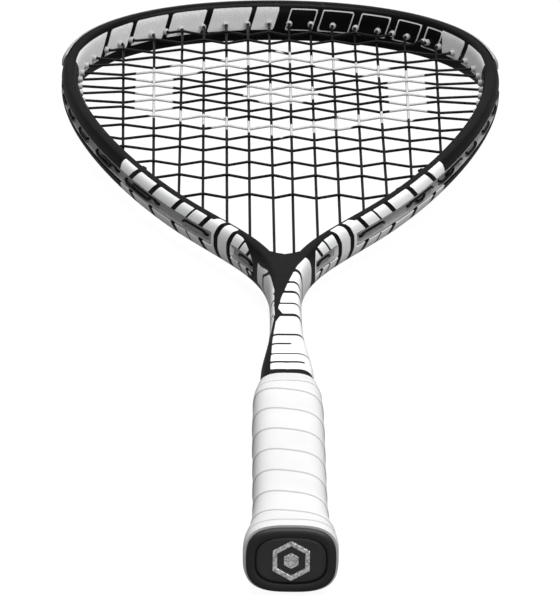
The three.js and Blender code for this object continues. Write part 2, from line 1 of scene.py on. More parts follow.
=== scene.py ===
"""The looks of a squash racket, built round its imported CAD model.

The pieces' lengths are millimetres until new_piece() turns them into metres. The axes are the
CAD model's: X to the right, Y from the butt end to the tip, Z up, and the string bed in z = 0.
"""

import math

import bmesh
import bpy
import numpy as np
from mathutils import Matrix, Vector


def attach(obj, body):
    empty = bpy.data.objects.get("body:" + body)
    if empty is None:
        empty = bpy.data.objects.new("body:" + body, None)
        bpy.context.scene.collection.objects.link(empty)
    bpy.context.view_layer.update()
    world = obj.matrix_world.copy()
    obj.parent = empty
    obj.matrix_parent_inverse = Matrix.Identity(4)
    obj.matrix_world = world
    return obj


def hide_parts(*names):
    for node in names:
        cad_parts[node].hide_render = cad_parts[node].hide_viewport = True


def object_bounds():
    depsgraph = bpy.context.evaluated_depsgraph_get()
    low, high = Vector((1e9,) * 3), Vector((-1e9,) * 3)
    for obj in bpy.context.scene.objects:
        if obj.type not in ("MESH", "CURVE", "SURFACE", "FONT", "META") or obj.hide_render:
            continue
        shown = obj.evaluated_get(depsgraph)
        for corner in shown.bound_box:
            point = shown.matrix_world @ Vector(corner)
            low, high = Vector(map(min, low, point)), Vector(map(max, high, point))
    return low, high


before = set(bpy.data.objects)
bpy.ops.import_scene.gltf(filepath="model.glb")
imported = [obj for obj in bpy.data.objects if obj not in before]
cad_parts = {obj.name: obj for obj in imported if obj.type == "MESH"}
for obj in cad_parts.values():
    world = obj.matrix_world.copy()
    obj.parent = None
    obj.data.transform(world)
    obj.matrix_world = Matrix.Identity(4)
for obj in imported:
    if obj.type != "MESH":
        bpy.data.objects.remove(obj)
cad_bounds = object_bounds()

MM = 0.001

# --- Driving dimensions: the CAD model's, except that the strings are thicker and touch ---

# The hoop's centreline is three curves from the leg's end through the flank and the widest point to
# the tip. The pulls are the lengths of the curves' handles.
TIP_Y = 680.0
WIDEST = (101.5, 586.2)
FLANK = (44.9, 396.3)
FLANK_ANGLE = 0.514
LEG_END = (3.4, 292.0)
HOOP_PULLS = {"leg": 45, "flank": (43.2, 52.5), "widest": (62.1, 57.8), "tip": 59.6}
OUTER_REACH = 4.5  # from the centreline to the tube's outer face
INNER_REACH = {"throat": 4.9, "side": 3.5, "tip": 4.5}  # and to its inner face
TUBE_HEIGHT = {"throat": 18.5, "side": 14.8, "tip": 20.0}
SIDE_Y = 565.0  # where the tube is slimmest
FULL_TIP_Y = 640.0  # from here to the tip the tube has its full size
TUBE_SQUARENESS = 2.7
# The channel round the outside: its depth, the half heights of its floor and mouth, and the length
# over which it ends.
CHANNEL = {"depth": 3.0, "floor": 3.0, "mouth": 3.3, "fade": 2.0}
# A body along the handle or the shaft is given by stations: y, width and height.
SHAFT = [(6, 16.5, 16), (150, 16.5, 16), (172, 21.8, 17.6), (198, 22.6, 18), (213, 19.6, 18),
         (230, 16, 18), (262, 14, 18), (292, 14.2, 18.2)]
HANDLE_TOP = 179.0  # where the shaft comes out of the handle
SHAFT_JOIN_Y = (284, 316)  # between these the shaft's outline turns into the arms' outlines
# The throat web: the corners and the dish of its upper edge, and the share by which it is thinner
# than the arms, reached between two travels up the arms.
WEB = {"corner_y": 332.2, "half_width": 5.4, "dish_y": 329.6, "dip": 0.1, "dip_travel": (5, 30)}

STRING_RADIUS = 0.66
MAIN_PAIRS = 7
MAIN_FIRST = 5.0
MAIN_GAP = (10.6, 0.13)  # the first gap, and how it grows with the square of the main's number
CROSS_COUNT = 18
CROSS_TOP_Y = 660.2
CROSS_GAP = (10.0, 0.14, 6)  # the smallest gap, how it grows, and the row where it is smallest
CROSS_RISE = 0.86  # how far a cross bends out of the bed at a main
MAIN_RISE = 0.4  # and a main at a cross

# A grommet strip lies over the channel's floor, and its rims stay a little under the tube's face.
STRIP = {"clearance": 0.3, "thickness": 1.0, "half_height": 2.7, "groove": 2.15, "sink": 0.4}
BARREL_STAND_OUT = 2.0
HOLE_PITCH = 9.0  # the least distance between a main's hole and a cross's
THROAT_SLANT = 9.0  # how far down the second main's hole slants on its way out
LOOP_SIDE = 1.3  # how far the mains' loops lie above the channel's middle, and the crosses' below it
LOOP_TURN = 3.0  # the length of a string's turn from a hole into the channel
LOOP_LIFT = 1.0  # from a strip's floor to the middle of the loops on it
# Where the strips and the guard start and end along the left half of the hoop.
THROAT_STRIP = (43.0, 65.5)
LOWER_STRIP = (85.5, 186.4)
SIDE_STRIP = (187.0, 327.4)
BUMPER_START = 328.0
# The bumper's lip over the tube: up in shares of the tube's half height, then out at its inner
# and its outer face.
LIP = [(0.42, 4.85, 6.05), (0.5, 4.65, 6.05), (0.58, 4.48, 5.95), (0.68, 4.2, 5.72),
       (0.78, 3.85, 5.3), (0.87, 3.4, 4.7), (0.93, 3.0, 4.1), (0.96, 2.9, 3.5)]
BUMPER_GAP = 0.35

CAP = {"length": 20.0, "width": 36.2, "height": 27.4, "rim_y": 2.4}
CAP_RECESS = {"width": 29.0, "height": 20.2, "depth": 2.2}
PAD = {"width": 28.2, "height": 19.4, "front_y": 0.9, "back_y": 1.9}
EMBLEM = {"radius": 8.6, "ring": 2.15, "core": 3.4, "edge": 0.25, "back_y": 1.0}
GRIP = [(2.8, 38.2, 29.4), (7, 38.8, 30), (15, 37, 29), (25, 33.4, 27.2), (40, 31.4, 25.8),
        (75, 30.6, 25.2), (140, 30.4, 24.8), (158, 30, 24.4), (166, 29.4, 23.8)]
COLLAR = [(166.4, 29.2, 23.6), (170, 28.4, 22.8), (176.6, 26.2, 20.8), (178.4, 25.9, 20.5),
          (179, 25.4, 20)]
HANDLE_SQUARENESS = 3.0


# --- Small mathematics ---

def clamp(value, low=0.0, high=1.0):
    return min(max(value, low), high)


def lerp(a, b, share):
    return a + (b - a) * share


def smoothstep(value, low, high):
    share = clamp((value - low) / (high - low))
    return share * share * (3 - 2 * share)


def unit(vectors):
    return vectors / np.linalg.norm(vectors, axis=-1, keepdims=True)


def run_along(points):
    """How far each point of a polyline is from its first one, along the line."""
    steps = np.linalg.norm(np.diff(points, axis=0), axis=1)
    return np.concatenate([[0], np.cumsum(steps)])


def resampled(points, count):
    """The same polyline with its points at equal distances."""
    run = run_along(points)
    wanted = np.linspace(0, run[-1], count)
    return np.stack([np.interp(wanted, run, points[:, axis]) for axis in range(points.shape[1])], 1)


def superellipse(angle, half_width, half_height, power):
    c, s = np.cos(angle), np.sin(angle)
    x = half_width * np.sign(c) * np.abs(c) ** (2 / power)
    z = half_height * np.sign(s) * np.abs(s) ** (2 / power)
    return np.stack([x, z], -1)


def eased(stations, y):
    """Width and height of a body along Y, with a smooth run through its stations."""
    ys = [station[0] for station in stations]
    i = int(np.clip(np.searchsorted(ys, y) - 1, 0, len(ys) - 2))
    span = ys[i + 1] - ys[i]
    t = clamp((y - ys[i]) / span)
    result = []
    for axis in (1, 2):
        values = [station[axis] for station in stations]
        slope = np.gradient(values, ys)
        a, b = values[i], values[i + 1]
        h00, h10 = 2 * t**3 - 3 * t**2 + 1, t**3 - 2 * t**2 + t
        h01, h11 = -2 * t**3 + 3 * t**2, t**3 - t**2
        result.append(h00 * a + h10 * span * slope[i] + h01 * b + h11 * span * slope[i + 1])
    return result


# --- Mesh building ---

def ring_faces(rings, count, looped=False):
    """Quads between neighbouring rings of count points each, and a face over each open end."""
    faces = []
    spans = rings if looped else rings - 1
    for span in range(spans):
        near, far = span * count, ((span + 1) % rings) * count
        for i in range(count):
            j = (i + 1) % count
            faces.append((near + i, near + j, far + j, far + i))
    if not looped:
        faces.append(tuple(reversed(range(count))))
        faces.append(tuple(range((rings - 1) * count, rings * count)))
    return faces


class Shape:
    """Vertices and faces that grow into one piece, with named values at the vertices."""

    def __init__(self):
        self.points, self.faces, self.values = [], [], {}

    def add(self, points, faces, **values):
        start = len(self.points)
        self.points += [tuple(p) for p in points]
        self.faces += [tuple(start + i for i in face) for face in faces]
        for name, numbers in values.items():
            self.values.setdefault(name, [0.0] * start).extend(float(v) for v in numbers)
        for name, numbers in self.values.items():
            numbers.extend([0.0] * (len(self.points) - len(numbers)))

    def add_rings(self, rings, looped=False, **values):
        rings = np.asarray(rings)
        count = rings.shape[1]
        flat = {name: np.asarray(v).reshape(-1) for name, v in values.items()}
        self.add(rings.reshape(-1, 3), ring_faces(len(rings), count, looped), **flat)


MERGE_DISTANCE = 2e-6
SHARP_ANGLE = 0.7


def new_piece(name, shape, material, replaced, sharp_angle=SHARP_ANGLE):
    """Makes the object of a shape, in metres, on the racket's one body, in place of a CAD node."""
    mesh = bpy.data.meshes.new(name)
    mesh.from_pydata([(x * MM, y * MM, z * MM) for x, y, z in shape.points], [], shape.faces)
    for label, numbers in shape.values.items():
        mesh.attributes.new(label, "FLOAT", "POINT").data.foreach_set("value", numbers)
    work = bmesh.new()
    work.from_mesh(mesh)
    bmesh.ops.remove_doubles(work, verts=work.verts, dist=MERGE_DISTANCE)
    bmesh.ops.recalc_face_normals(work, faces=work.faces)
    work.to_mesh(mesh)
    work.free()
    mesh.shade_smooth()
    mesh.set_sharp_from_angle(angle=sharp_angle)
    piece = bpy.data.objects.new(name, mesh)
    bpy.context.scene.collection.objects.link(piece)
    mesh.materials.append(material)
    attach(piece, "root")
    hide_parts(*replaced)


# --- The hoop: the frame's centreline ---

CURVE_POINTS = 500
HALVINGS = 40


class Hoop:
    """The centreline from the left leg's end over the tip to the right leg's end."""

    def __init__(self):
        run = np.array([math.sin(FLANK_ANGLE), math.cos(FLANK_ANGLE)])
        leg, flank = np.array([-LEG_END[0], LEG_END[1]]), np.array([-FLANK[0], FLANK[1]])
        widest, tip = np.array([-WIDEST[0], WIDEST[1]]), np.array([0, TIP_Y])
        away = run * [-1, 1]
        flank_down, flank_up = HOOP_PULLS["flank"]
        widest_down, widest_up = HOOP_PULLS["widest"]
        curves = [
            (leg, leg + [0, HOOP_PULLS["leg"]], flank - away * flank_down, flank),
            (flank, flank + away * flank_up, widest - [0, widest_down], widest),
            (widest, widest + [0, widest_up], tip - [HOOP_PULLS["tip"], 0], tip),
        ]
        t = np.linspace(0, 1, CURVE_POINTS)[:, None]
        left = [
            (1 - t)**3 * a + 3 * (1 - t)**2 * t * b + 3 * (1 - t) * t**2 * c + t**3 * d
            for a, b, c, d in curves
        ]
        half = np.concatenate([curve[:-1] for curve in left] + [tip[None]])
        right = half[-2::-1] * [-1, 1]
        self.points = np.concatenate([half, right])
        self.run = run_along(self.points)
        self.length = self.run[-1]
        self.heading = unit(np.gradient(self.points, self.run, axis=0))

    def centre(self, s):
        return np.array([np.interp(s, self.run, self.points[:, axis]) for axis in (0, 1)])

    def along(self, s):
        return unit(np.array([np.interp(s, self.run, self.heading[:, axis]) for axis in (0, 1)]))

    def at(self, s, out, up=0.0):
        """The point at distance s along the hoop, out from the centreline and up from the bed."""
        return self.section(s, np.array([(out, up)]))[0]

    def section(self, s, outline):
        """An outline of (out, up) points as a ring of points square to the hoop."""
        x, y = self.centre(s)
        ahead_x, ahead_y = self.along(s)
        out, up = outline[:, 0], outline[:, 1]
        return np.stack([x - ahead_y * out, y + ahead_x * out, up], 1)


hoop = Hoop()
TIP = hoop.length / 2


def mirrored(s):
    return hoop.length - s


def tube_size(s, sizes):
    """A size of the tube at s, from its values at the throat, the slim sides and the tip."""
    y = hoop.centre(s)[1]
    taper = clamp((y - LEG_END[1]) / (SIDE_Y - LEG_END[1]))
    low = lerp(sizes["throat"], sizes["side"], taper)
    return lerp(low, sizes["tip"], smoothstep(y, SIDE_Y, FULL_TIP_Y))


def barrel_end(s):
    """The middle of a barrel's inner end, if the barrel stands square to the hoop at s."""
    return hoop.at(s, -tube_size(s, INNER_REACH) - BARREL_STAND_OUT)


def find_on_hoop(low, high, measure):
    """The distance along the hoop, between two limits, where a measure of a barrel's end is zero."""
    sign = np.sign(measure(barrel_end(low)))
    for _ in range(HALVINGS):
        middle = (low + high) / 2
        if np.sign(measure(barrel_end(middle))) == sign:
            low = middle
        else:
            high = middle
    return low


WIDEST_LEFT = find_on_hoop(0.25 * hoop.length, TIP, lambda p: p[1] - WIDEST[1])
CROTCH_LEFT = find_on_hoop(0, 0.25 * hoop.length, lambda p: p[1] - WEB["corner_y"])


# --- Where the strings pass through the frame ---

def main_offsets():
    offsets = [MAIN_FIRST]
    for i in range(MAIN_PAIRS - 1):
        offsets.append(offsets[-1] + MAIN_GAP[0] + MAIN_GAP[1] * i**2)
    return offsets


def cross_heights():
    heights = [CROSS_TOP_Y]
    for i in range(CROSS_COUNT - 1):
        heights.append(heights[-1] - CROSS_GAP[0] - CROSS_GAP[1] * (i - CROSS_GAP[2]) ** 2)
    return heights


CHANNEL_FLOOR = OUTER_REACH - CHANNEL["depth"]
STRIP_FLOOR = CHANNEL_FLOOR + STRIP["clearance"]
LOOP_OUT = STRIP_FLOOR + STRIP["thickness"] + LOOP_LIFT


class Hole:
    """A string's way through the frame, from its mouth inside the hoop to the channel outside."""

    def __init__(self, s, slant=0.0, side=-1):
        self.s, self.slant, self.side = s, slant, side
        flip = [-side, 1, 1]
        self.inner = barrel_end(s + slant) * flip
        self.outer = hoop.at(s, LOOP_OUT) * flip

    def along_hoop(self):
        """The hole's distance along the hoop from the left leg's end."""
        return self.s if self.side < 0 else mirrored(self.s)

    def across(self):
        """The same hole on the other side of the racket."""
        return Hole(self.s, self.slant, -self.side)

    def inward(self):
        return unit(self.inner - self.outer)

    def mouth(self):
        return self.inner + self.inward() * STRING_RADIUS


def spread(mains, crosses):
    """Where a main and a cross would crowd each other, both give way along the frame."""
    for i in range(len(mains)):
        for j in range(len(crosses)):
            gap = mains[i].s - crosses[j].s
            if abs(gap) < HOLE_PITCH:
                push = math.copysign((HOLE_PITCH - abs(gap)) / 2, gap)
                mains[i] = Hole(mains[i].s + push)
                crosses[j] = Hole(crosses[j].s - push)


def between(a, b):
    return Hole((a.s + b.s) / 2)


offsets = main_offsets()
heights = cross_heights()
main_tips = [Hole(find_on_hoop(WIDEST_LEFT, TIP, lambda p, x=x: p[0] + x)) for x in offsets]
main_feet = [Hole(find_on_hoop(0, WIDEST_LEFT, lambda p, x=x: p[0] + x)) for x in offsets]
main_feet[1] = Hole(main_feet[1].s - THROAT_SLANT, THROAT_SLANT)
cross_ends = [Hole(find_on_hoop(CROTCH_LEFT, TIP, lambda p, y=y: p[1] - y)) for y in heights]
spread(main_tips, cross_ends)
spread(main_feet, cross_ends)
# Each end of a string is tied off at a spare hole near its last one.
main_tie = between(cross_ends[15], cross_ends[16])
cross_tie_top = between(main_tips[5], main_tips[6]).across()
cross_tie_bottom = between(cross_ends[17], main_feet[5]).across()
left_holes = main_tips + main_feet + cross_ends + [main_tie]
holes = left_holes + [hole.across() for hole in left_holes] + [cross_tie_top, cross_tie_bottom]


# --- The frame ---

SECTION_STEPS = 24
WEB_SQUARENESS = 8.0
# The inner wall's reach past the outer one where the web starts, and the further reach over which
# the outline takes the web's flat shape.
WEB_FLATTENS = (0.4, 3.0)
# Where the web's faces start to dip and how soon they have dipped, in shares of the outer reach.
DIP_STARTS, DIP_SPAN = 0.55, 0.6
PAST_AXIS = {"web": 6.0, "shaft": 9.0}  # how far a half runs over the axis, where it is then cut
DISH_SLOPE = 1.5  # how fast the web's overrun grows below the dish
INNER_PATCH = 1.4  # half height of the flat strip along the middle of the inner wall
CORNER_POWER = 4  # how sharply the dish turns up to its corners
OUTLINE_POINTS = 400
REACH_POINTS = 200
FLOOR_POINT = 1.7  # half height of the point between the channel's middle and its floor's edge
LIP_SHARE = 0.6  # where the channel's edge bends, between floor and mouth


def channel_share(s):
    """How deep the channel is, as a share of its full depth."""
    def rise(start):
        return clamp((s - start) / CHANNEL["fade"] + 1)

    low, high = THROAT_STRIP
    return rise(low) - rise(high + CHANNEL["fade"]) + rise(LOWER_STRIP[0])


def web_reach(s):
    """How far past the arm's inner wall the web runs at s, square to the arm."""
    centre, ahead = hoop.centre(s), hoop.along(s)
    inward = np.array([ahead[1], -ahead[0]])
    wall = centre + inward * tube_size(s, INNER_REACH)
    to_axis = -wall[0] / inward[0]
    if to_axis <= 0:
        return PAST_AXIS["web"]
    axis_y = wall[1] + inward[1] * to_axis
    if axis_y <= WEB["dish_y"]:
        return to_axis + min(PAST_AXIS["web"], DISH_SLOPE * (WEB["dish_y"] - axis_y))
    reach = np.linspace(0, to_axis, REACH_POINTS)
    x, y = wall[:, None] + inward[:, None] * reach
    share = np.minimum((x / WEB["half_width"]) ** CORNER_POWER, 1)
    rim = lerp(WEB["dish_y"], WEB["corner_y"], share)
    inside = reach[y < rim]
    return float(inside.max()) if len(inside) else 0.0


def half_outline(reach_out, reach_in, half_height, share, dip):
    """(out, up) points from just above the channel's middle over the top to the inner wall."""
    angle = np.linspace(0, math.pi, OUTLINE_POINTS)
    around = superellipse(angle, reach_out, half_height, TUBE_SQUARENESS)
    extends = clamp((reach_in - reach_out - WEB_FLATTENS[0]) / WEB_FLATTENS[1])
    squareness = lerp(TUBE_SQUARENESS, WEB_SQUARENESS, extends)
    inner = superellipse(angle, reach_in, half_height, squareness)
    around = np.where(around[:, :1] > 0, around, inner)
    past_edge = np.clip((-around[:, 0] / reach_out - DIP_STARTS) / DIP_SPAN, 0, 1)
    dip *= extends
    around[:, 1] *= 1 - dip * past_edge**2 * (3 - 2 * past_edge)
    before_top = np.arange(len(angle)) < len(angle) // 2

    def side(height):
        return np.interp(height, around[before_top, 1], around[before_top, 0])

    mouth = CHANNEL["mouth"]
    middle = lerp(CHANNEL["floor"], mouth, LIP_SHARE)
    channel = [(lerp(side(h), CHANNEL_FLOOR, share), h) for h in (FLOOR_POINT, CHANNEL["floor"])]
    channel.append((lerp(side(middle), lerp(CHANNEL_FLOOR, side(mouth), 0.5), share), middle))
    inner_end = half_height * (1 - dip) * 0.99
    lowest = np.where(before_top, mouth, min(INNER_PATCH, inner_end))
    keep = around[:, 1] >= lowest
    return np.concatenate([channel, resampled(around[keep], SECTION_STEPS)])


def ring_of(upper, share, reach_out):
    """The whole outline from its upper half, with one point in the channel's middle."""
    middle = lerp(reach_out, CHANNEL_FLOOR, share)
    lower = upper[::-1] * [1, -1]
    return np.concatenate([[(middle, 0)], upper, lower])


def frame_section(travel):
    """The left half's ring at a travel, which is the distance up the hoop or, negative, below it.

    With it come each point's girth, measured from the channel's middle, and its reach out.
    """
    y = LEG_END[1] + travel if travel < 0 else hoop.centre(travel)[1]
    join = smoothstep(y, *SHAFT_JOIN_Y)
    width, height = eased(SHAFT, min(y, LEG_END[1]))
    full_height = lerp(height, tube_size(max(travel, 0), TUBE_HEIGHT), join)
    reach_out = lerp(width / 2 - LEG_END[0], OUTER_REACH, join)
    reach_in = PAST_AXIS["shaft"]
    if travel >= 0:
        reach_in = tube_size(travel, INNER_REACH) + web_reach(travel)
    share = channel_share(travel) if travel > 0 else 0.0
    dip = WEB["dip"] * smoothstep(travel, *WEB["dip_travel"])
    upper = half_outline(reach_out, reach_in, full_height / 2, share, dip)
    outline = ring_of(upper, share, reach_out)
    if travel < 0:
        ring = np.stack([-LEG_END[0] - outline[:, 0], np.full(len(outline), y), outline[:, 1]], 1)
    else:
        ring = hoop.section(travel, outline)
    girth = upper[0, 1] + run_along(upper)
    girth = np.concatenate([[0], girth, girth[::-1]])
    ring[:, 0] = np.minimum(ring[:, 0], 0)
    return ring, girth, outline[:, 0]


FRAME_STEP = {"hoop": 1.5, "painted": 0.75, "in_handle": 12}
PAINTED_MARGIN = 4
HIDDEN_MARGIN = 10


def frame_travels():
    """Where the frame's sections stand: close together where it is painted, far in the handle."""
    top, end = HANDLE_TOP - LEG_END[1], SHAFT[0][0] - LEG_END[1]
    travels = [*np.arange(ARM_PAINT_END, TIP, FRAME_STEP["hoop"]), TIP]
    painted = (top - PAINTED_MARGIN, ARM_PAINT_END + PAINTED_MARGIN)
    travels += [*np.arange(*painted, FRAME_STEP["painted"])]
    for s in (*THROAT_STRIP, LOWER_STRIP[0]):
        travels += [s - 2, s - 1, s, s + 1, s + 2]
    for at, half_width, _ in SHAFT_RINGS:
        travels += [at - half_width, at, at + half_width]
    travels += [*np.arange(top - HIDDEN_MARGIN, end, -FRAME_STEP["in_handle"]), end]
    return sorted(set(np.round(travels, 3)), reverse=True)


AXIS_TOLERANCE = 1e-3


def make_frame(material):
    """The left half and its mirror image, which share the points on the axis."""
    travels = frame_travels()
    rings, girths, outs = (np.array(values) for values in zip(*map(frame_section, travels)))
    count = rings.shape[1]
    along = np.repeat(travels, count)
    shape = Shape()
    faces = ring_faces(len(rings), count)
    del faces[-2]  # at the tip the halves meet
    flat = rings.reshape(-1, 3)
    on_axis = flat[:, 0] > -AXIS_TOLERANCE
    faces = [face for face in faces if not all(on_axis[i] for i in face)]
    for side in (1, -1):
        points = flat * [side, 1, 1]
        paint = paint_values(along, girths.reshape(-1), outs.reshape(-1), points)
        shape.add(points, faces, **paint)
    new_piece("racket_frame", shape, material, ["frame"])


# --- Painted blocks ---

# Along the arms a place is given by its travel and by its girth from the channel's middle.
ARM_PAINT_END = 176.5
ARM_PAINT_GIRTH = 11.7
GAP_CURVE = (9, 1.5)  # the girth over which a gap drifts, and the power of its curve
# Black gaps across the arms: travel at the inner border, drift towards the channel, half width.
ARM_GAPS = [(159, 9, 2.2), (137, 8, 2.1), (114, 8, 1.9), (101.5, 8, 0.8), (89, 8, 1.8),
            (76.5, 3, 1.8), (65.5, 3, 1.3), (55, 6, 0.8), (45.5, 7, 1.4)]
LEFT_GAPS = [(9, 14, 1.4), (-22, -5, 0.9), (-39, -3, 0.7)]
RIGHT_GAPS = [(13, -7, 1.7), (-2, -7, 1.2), (-14, -7, 1.4), (-28, -6, 0.9), (-42, -6, 1.6)]
NO_LIMIT = 99.0
# Black rings round the shaft: travel, half width, and the x where the ring stops.
SHAFT_RINGS = [(-65.6, 1.1, NO_LIMIT), (-76.3, 0.9, 2), (-88, 0.65, NO_LIMIT), (-97.6, 1.0, 7.5),
               (-109.8, 4.0, NO_LIMIT)]
STRIPE_X = -5.5  # the stripe down the shaft parts the left blocks from the right ones
# The black web between the arms and the stripe down the shaft's left, in plan.
BLACK_WEB = [(-14.6, 332), (-14.6, 323), (-12, 325), (-9.5, 315.5), (-7.8, 309), (-6.5, 300),
             (-5.8, 291.5), (-5, 281), (-5.2, 262), (-5, 251), (-6.8, 233.5), (-20, 233.5),
             (-20, 170), (-7.6, 170), (-7.2, 196), (-6.7, 207), (-6.2, 220.5), (-5.6, 230.5),
             (-4.7, 242), (-1.7, 252), (-3.5, 258), (-2, 271), (-0.5, 280), (1.2, 290),
             (3.8, 303), (5.3, 310), (9, 322), (13.4, 324), (14, 335), (20, 352), (-20, 352)]
# Inside the tip a place is given by its x and z. All borders there lean alike.
TIP_PAINT_Y = 592.0
TIP_PAINT_OUT = -2.2
TIP_PAINT_Z = (-3.3, 8.2)
TIP_OUTLINE_TOP = 7.4
TIP_LEAN = 0.3
TIP_RIGHT_PATCH = 80.0  # the x from which the right side has solid blocks too
TIP_GAPS = [(-87, 1.0), (-74.5, 1.0), (-57, 1.1), (-37.5, 1.6), (-15.5, 1.2), (-1, 2.0), (88, 0.8)]
TIP_OUTLINES = [(3, 16), (19, 34), (38, 52), (56, 67), (70, 77)]
FAR_OUTSIDE = -5.0


def distance_inside(polygon, u, v):
    """How far each point lies inside a polygon, negative outside it."""
    corners = np.array(polygon, float)
    nearest = np.full(u.shape, 1e9)
    inside = np.zeros(u.shape, bool)
    for (x0, y0), (x1, y1) in zip(corners, np.roll(corners, -1, 0)):
        dx, dy = x1 - x0, y1 - y0
        t = np.clip(((u - x0) * dx + (v - y0) * dy) / (dx * dx + dy * dy + 1e-12), 0, 1)
        nearest = np.minimum(nearest, np.hypot(u - x0 - t * dx, v - y0 - t * dy))
        crosses = ((y0 > v) != (y1 > v)) & (u < dx * (v - y0) / (dy + 1e-12) + x0)
        inside ^= crosses
    return np.where(inside, nearest, -nearest)


def arm_paint(travel, girth, x, y):
    """The white blocks down the arms and over the shaft."""
    limit = np.where(travel > THROAT_STRIP[0] - 1, ARM_PAINT_GIRTH, NO_LIMIT)
    white = np.minimum(ARM_PAINT_END - travel, limit - girth)
    white = np.minimum(white, -distance_inside(BLACK_WEB, x, y))
    right = x > np.where(travel < 0, STRIPE_X, 0.01)
    lean = np.clip((ARM_PAINT_GIRTH - girth) / GAP_CURVE[0], 0, 1) ** GAP_CURVE[1]
    for side, gaps in ((~right, LEFT_GAPS), (right, RIGHT_GAPS)):
        for at, drift, half_width in [*ARM_GAPS, *gaps]:
            off_gap = np.abs(travel - at - drift * lean) - half_width
            white = np.where(side, np.minimum(white, off_gap), white)
    for at, half_width, stop in SHAFT_RINGS:
        white = np.minimum(white, np.maximum(np.abs(travel - at) - half_width, x - stop))
    return white


def tip_paint(out, x, y, z):
    """The silver blocks inside the tip, solid on the left and drawn in outline on the right."""
    inside = np.minimum(TIP_PAINT_OUT - out, y - TIP_PAINT_Y)
    low, high = TIP_PAINT_Z
    lean = TIP_LEAN * (z - low)
    wall = np.minimum(inside, np.minimum(z - low, high - z))
    silver = np.minimum(wall, np.maximum(-x, x - TIP_RIGHT_PATCH))
    for at, half_width in TIP_GAPS:
        silver = np.minimum(silver, np.abs(x - at - lean) - half_width)
    blocks = np.full(x.shape, FAR_OUTSIDE)
    for left, right in TIP_OUTLINES:
        block = np.minimum(x - left - lean, right + lean - x)
        blocks = np.maximum(blocks, np.minimum(block, np.minimum(z - low, TIP_OUTLINE_TOP - z)))
    return silver, np.where(inside > 0, blocks, FAR_OUTSIDE)


def paint_values(travel, girth, out, points):
    """Signed distances to the borders of the painted blocks, for the lacquer's material."""
    x, y, z = points.T
    silver, outlined = tip_paint(out, x, y, z)
    white = arm_paint(travel, girth, x, y)
    return {"white": white, "silver": silver, "outlined": outlined}


# --- Grommet strips and bumper guard ---

BARREL_SIDES = 16
BARREL_ROOT_RADIUS = 1.75
# From a barrel's foot round its lip and into its bore: the distance back from its end, the radius.
BARREL_PROFILE = [(2.6, 1.7), (0.7, 1.45), (0.25, 1.4), (0.05, 1.25), (0.0, 1.05), (0.08, 0.85),
                  (0.4, 0.74), (2.5, 0.72)]


def barrel_rings(hole, root_out):
    """A grommet's barrel: a tapered tube with a rounded lip and the string's bore in its end."""
    inward = hole.inward()
    end = hole.inner
    start = end - inward * (np.linalg.norm(end - hole.outer) - (LOOP_OUT - root_out))
    side = unit(np.cross(inward, [0, 0, 1]))
    up = np.cross(side, inward)
    angle = np.arange(BARREL_SIDES) * 2 * math.pi / BARREL_SIDES
    circle = np.cos(angle)[:, None] * side + np.sin(angle)[:, None] * up
    profile = [(end - inward * back, radius) for back, radius in BARREL_PROFILE]
    profile = [(start, BARREL_ROOT_RADIUS), *profile]
    return np.array([centre + circle * radius for centre, radius in profile])


def add_barrels(shape, start, end):
    for hole in holes:
        if start < hole.along_hoop() < end:
            shape.add_rings(barrel_rings(hole, STRIP_FLOOR + STRIP["thickness"] / 2))


STRIP_STEP = 2.0
EDGE = {"groove": 0.3, "rim": 0.15}  # how much the strips' and the guard's edges are taken off


def both_halves(upper):
    """A section's whole outline from its half above the bed."""
    return np.array(upper + [(out, -up) for out, up in reversed(upper)])


def strip_outline():
    """A strip's section, with a groove down its outer face where the string loops lie."""
    floor, rim = STRIP_FLOOR + STRIP["thickness"], OUTER_REACH - STRIP["sink"]
    height, groove = STRIP["half_height"], STRIP["groove"]
    inside, edge = EDGE["groove"], EDGE["rim"]
    upper = [(floor, groove - inside), (floor + inside, groove), (rim - edge, groove),
             (rim, groove + 0.8 * edge), (rim, height - edge), (rim - edge, height),
             (STRIP_FLOOR, height)]
    return both_halves(upper)


def make_strip(name, start, end, material):
    shape = Shape()
    stations = np.linspace(start, end, int((end - start) / STRIP_STEP) + 1)
    shape.add_rings([hoop.section(s, strip_outline()) for s in stations])
    add_barrels(shape, start, end)
    new_piece(name + "_moulding", shape, material, [name])


def bumper_outline(share, half_height):
    """The guard's section; its thickness over the tube is multiplied by the share."""
    face = OUTER_REACH + BUMPER_GAP
    outer = [(lerp(near, far, share), up * half_height) for up, near, far in LIP]
    inner = [(near, up * half_height) for up, near, _ in reversed(LIP)]
    crown, groove, edge = outer[0][0], STRIP["groove"], EDGE["groove"]
    upper = [(STRIP_FLOOR + STRIP["thickness"], groove), (crown - edge, groove),
             (crown, groove + edge), *outer, *inner, (face, STRIP["half_height"]),
             (STRIP_FLOOR, STRIP["half_height"])]
    return both_halves(upper)


BUMPER_STEP = 1.5
BUMPER_FADE = 4.0  # the length over which the guard's ends get thin
BUMPER_END_SHARE = 0.35


def make_bumper(material):
    shape = Shape()
    start, end, fade = BUMPER_START, mirrored(BUMPER_START), BUMPER_FADE
    run_out = np.array([0, 0.3, 0.8, 1.5, 2.5])
    middle = np.arange(start + fade, end - fade, BUMPER_STEP)
    stations = [*(start + run_out), *middle, *(end - run_out[::-1])]
    rings = []
    for s in stations:
        inset = clamp(min(s - start, end - s) / fade)
        share = lerp(BUMPER_END_SHARE, 1, math.sqrt(1 - (1 - inset) ** 2))
        rings.append(hoop.section(s, bumper_outline(share, tube_size(s, TUBE_HEIGHT) / 2)))
    shape.add_rings(rings)
    add_barrels(shape, start, end)
    new_piece("bumper_moulding", shape, material, ["bumper_guard"])


# --- Strings ---

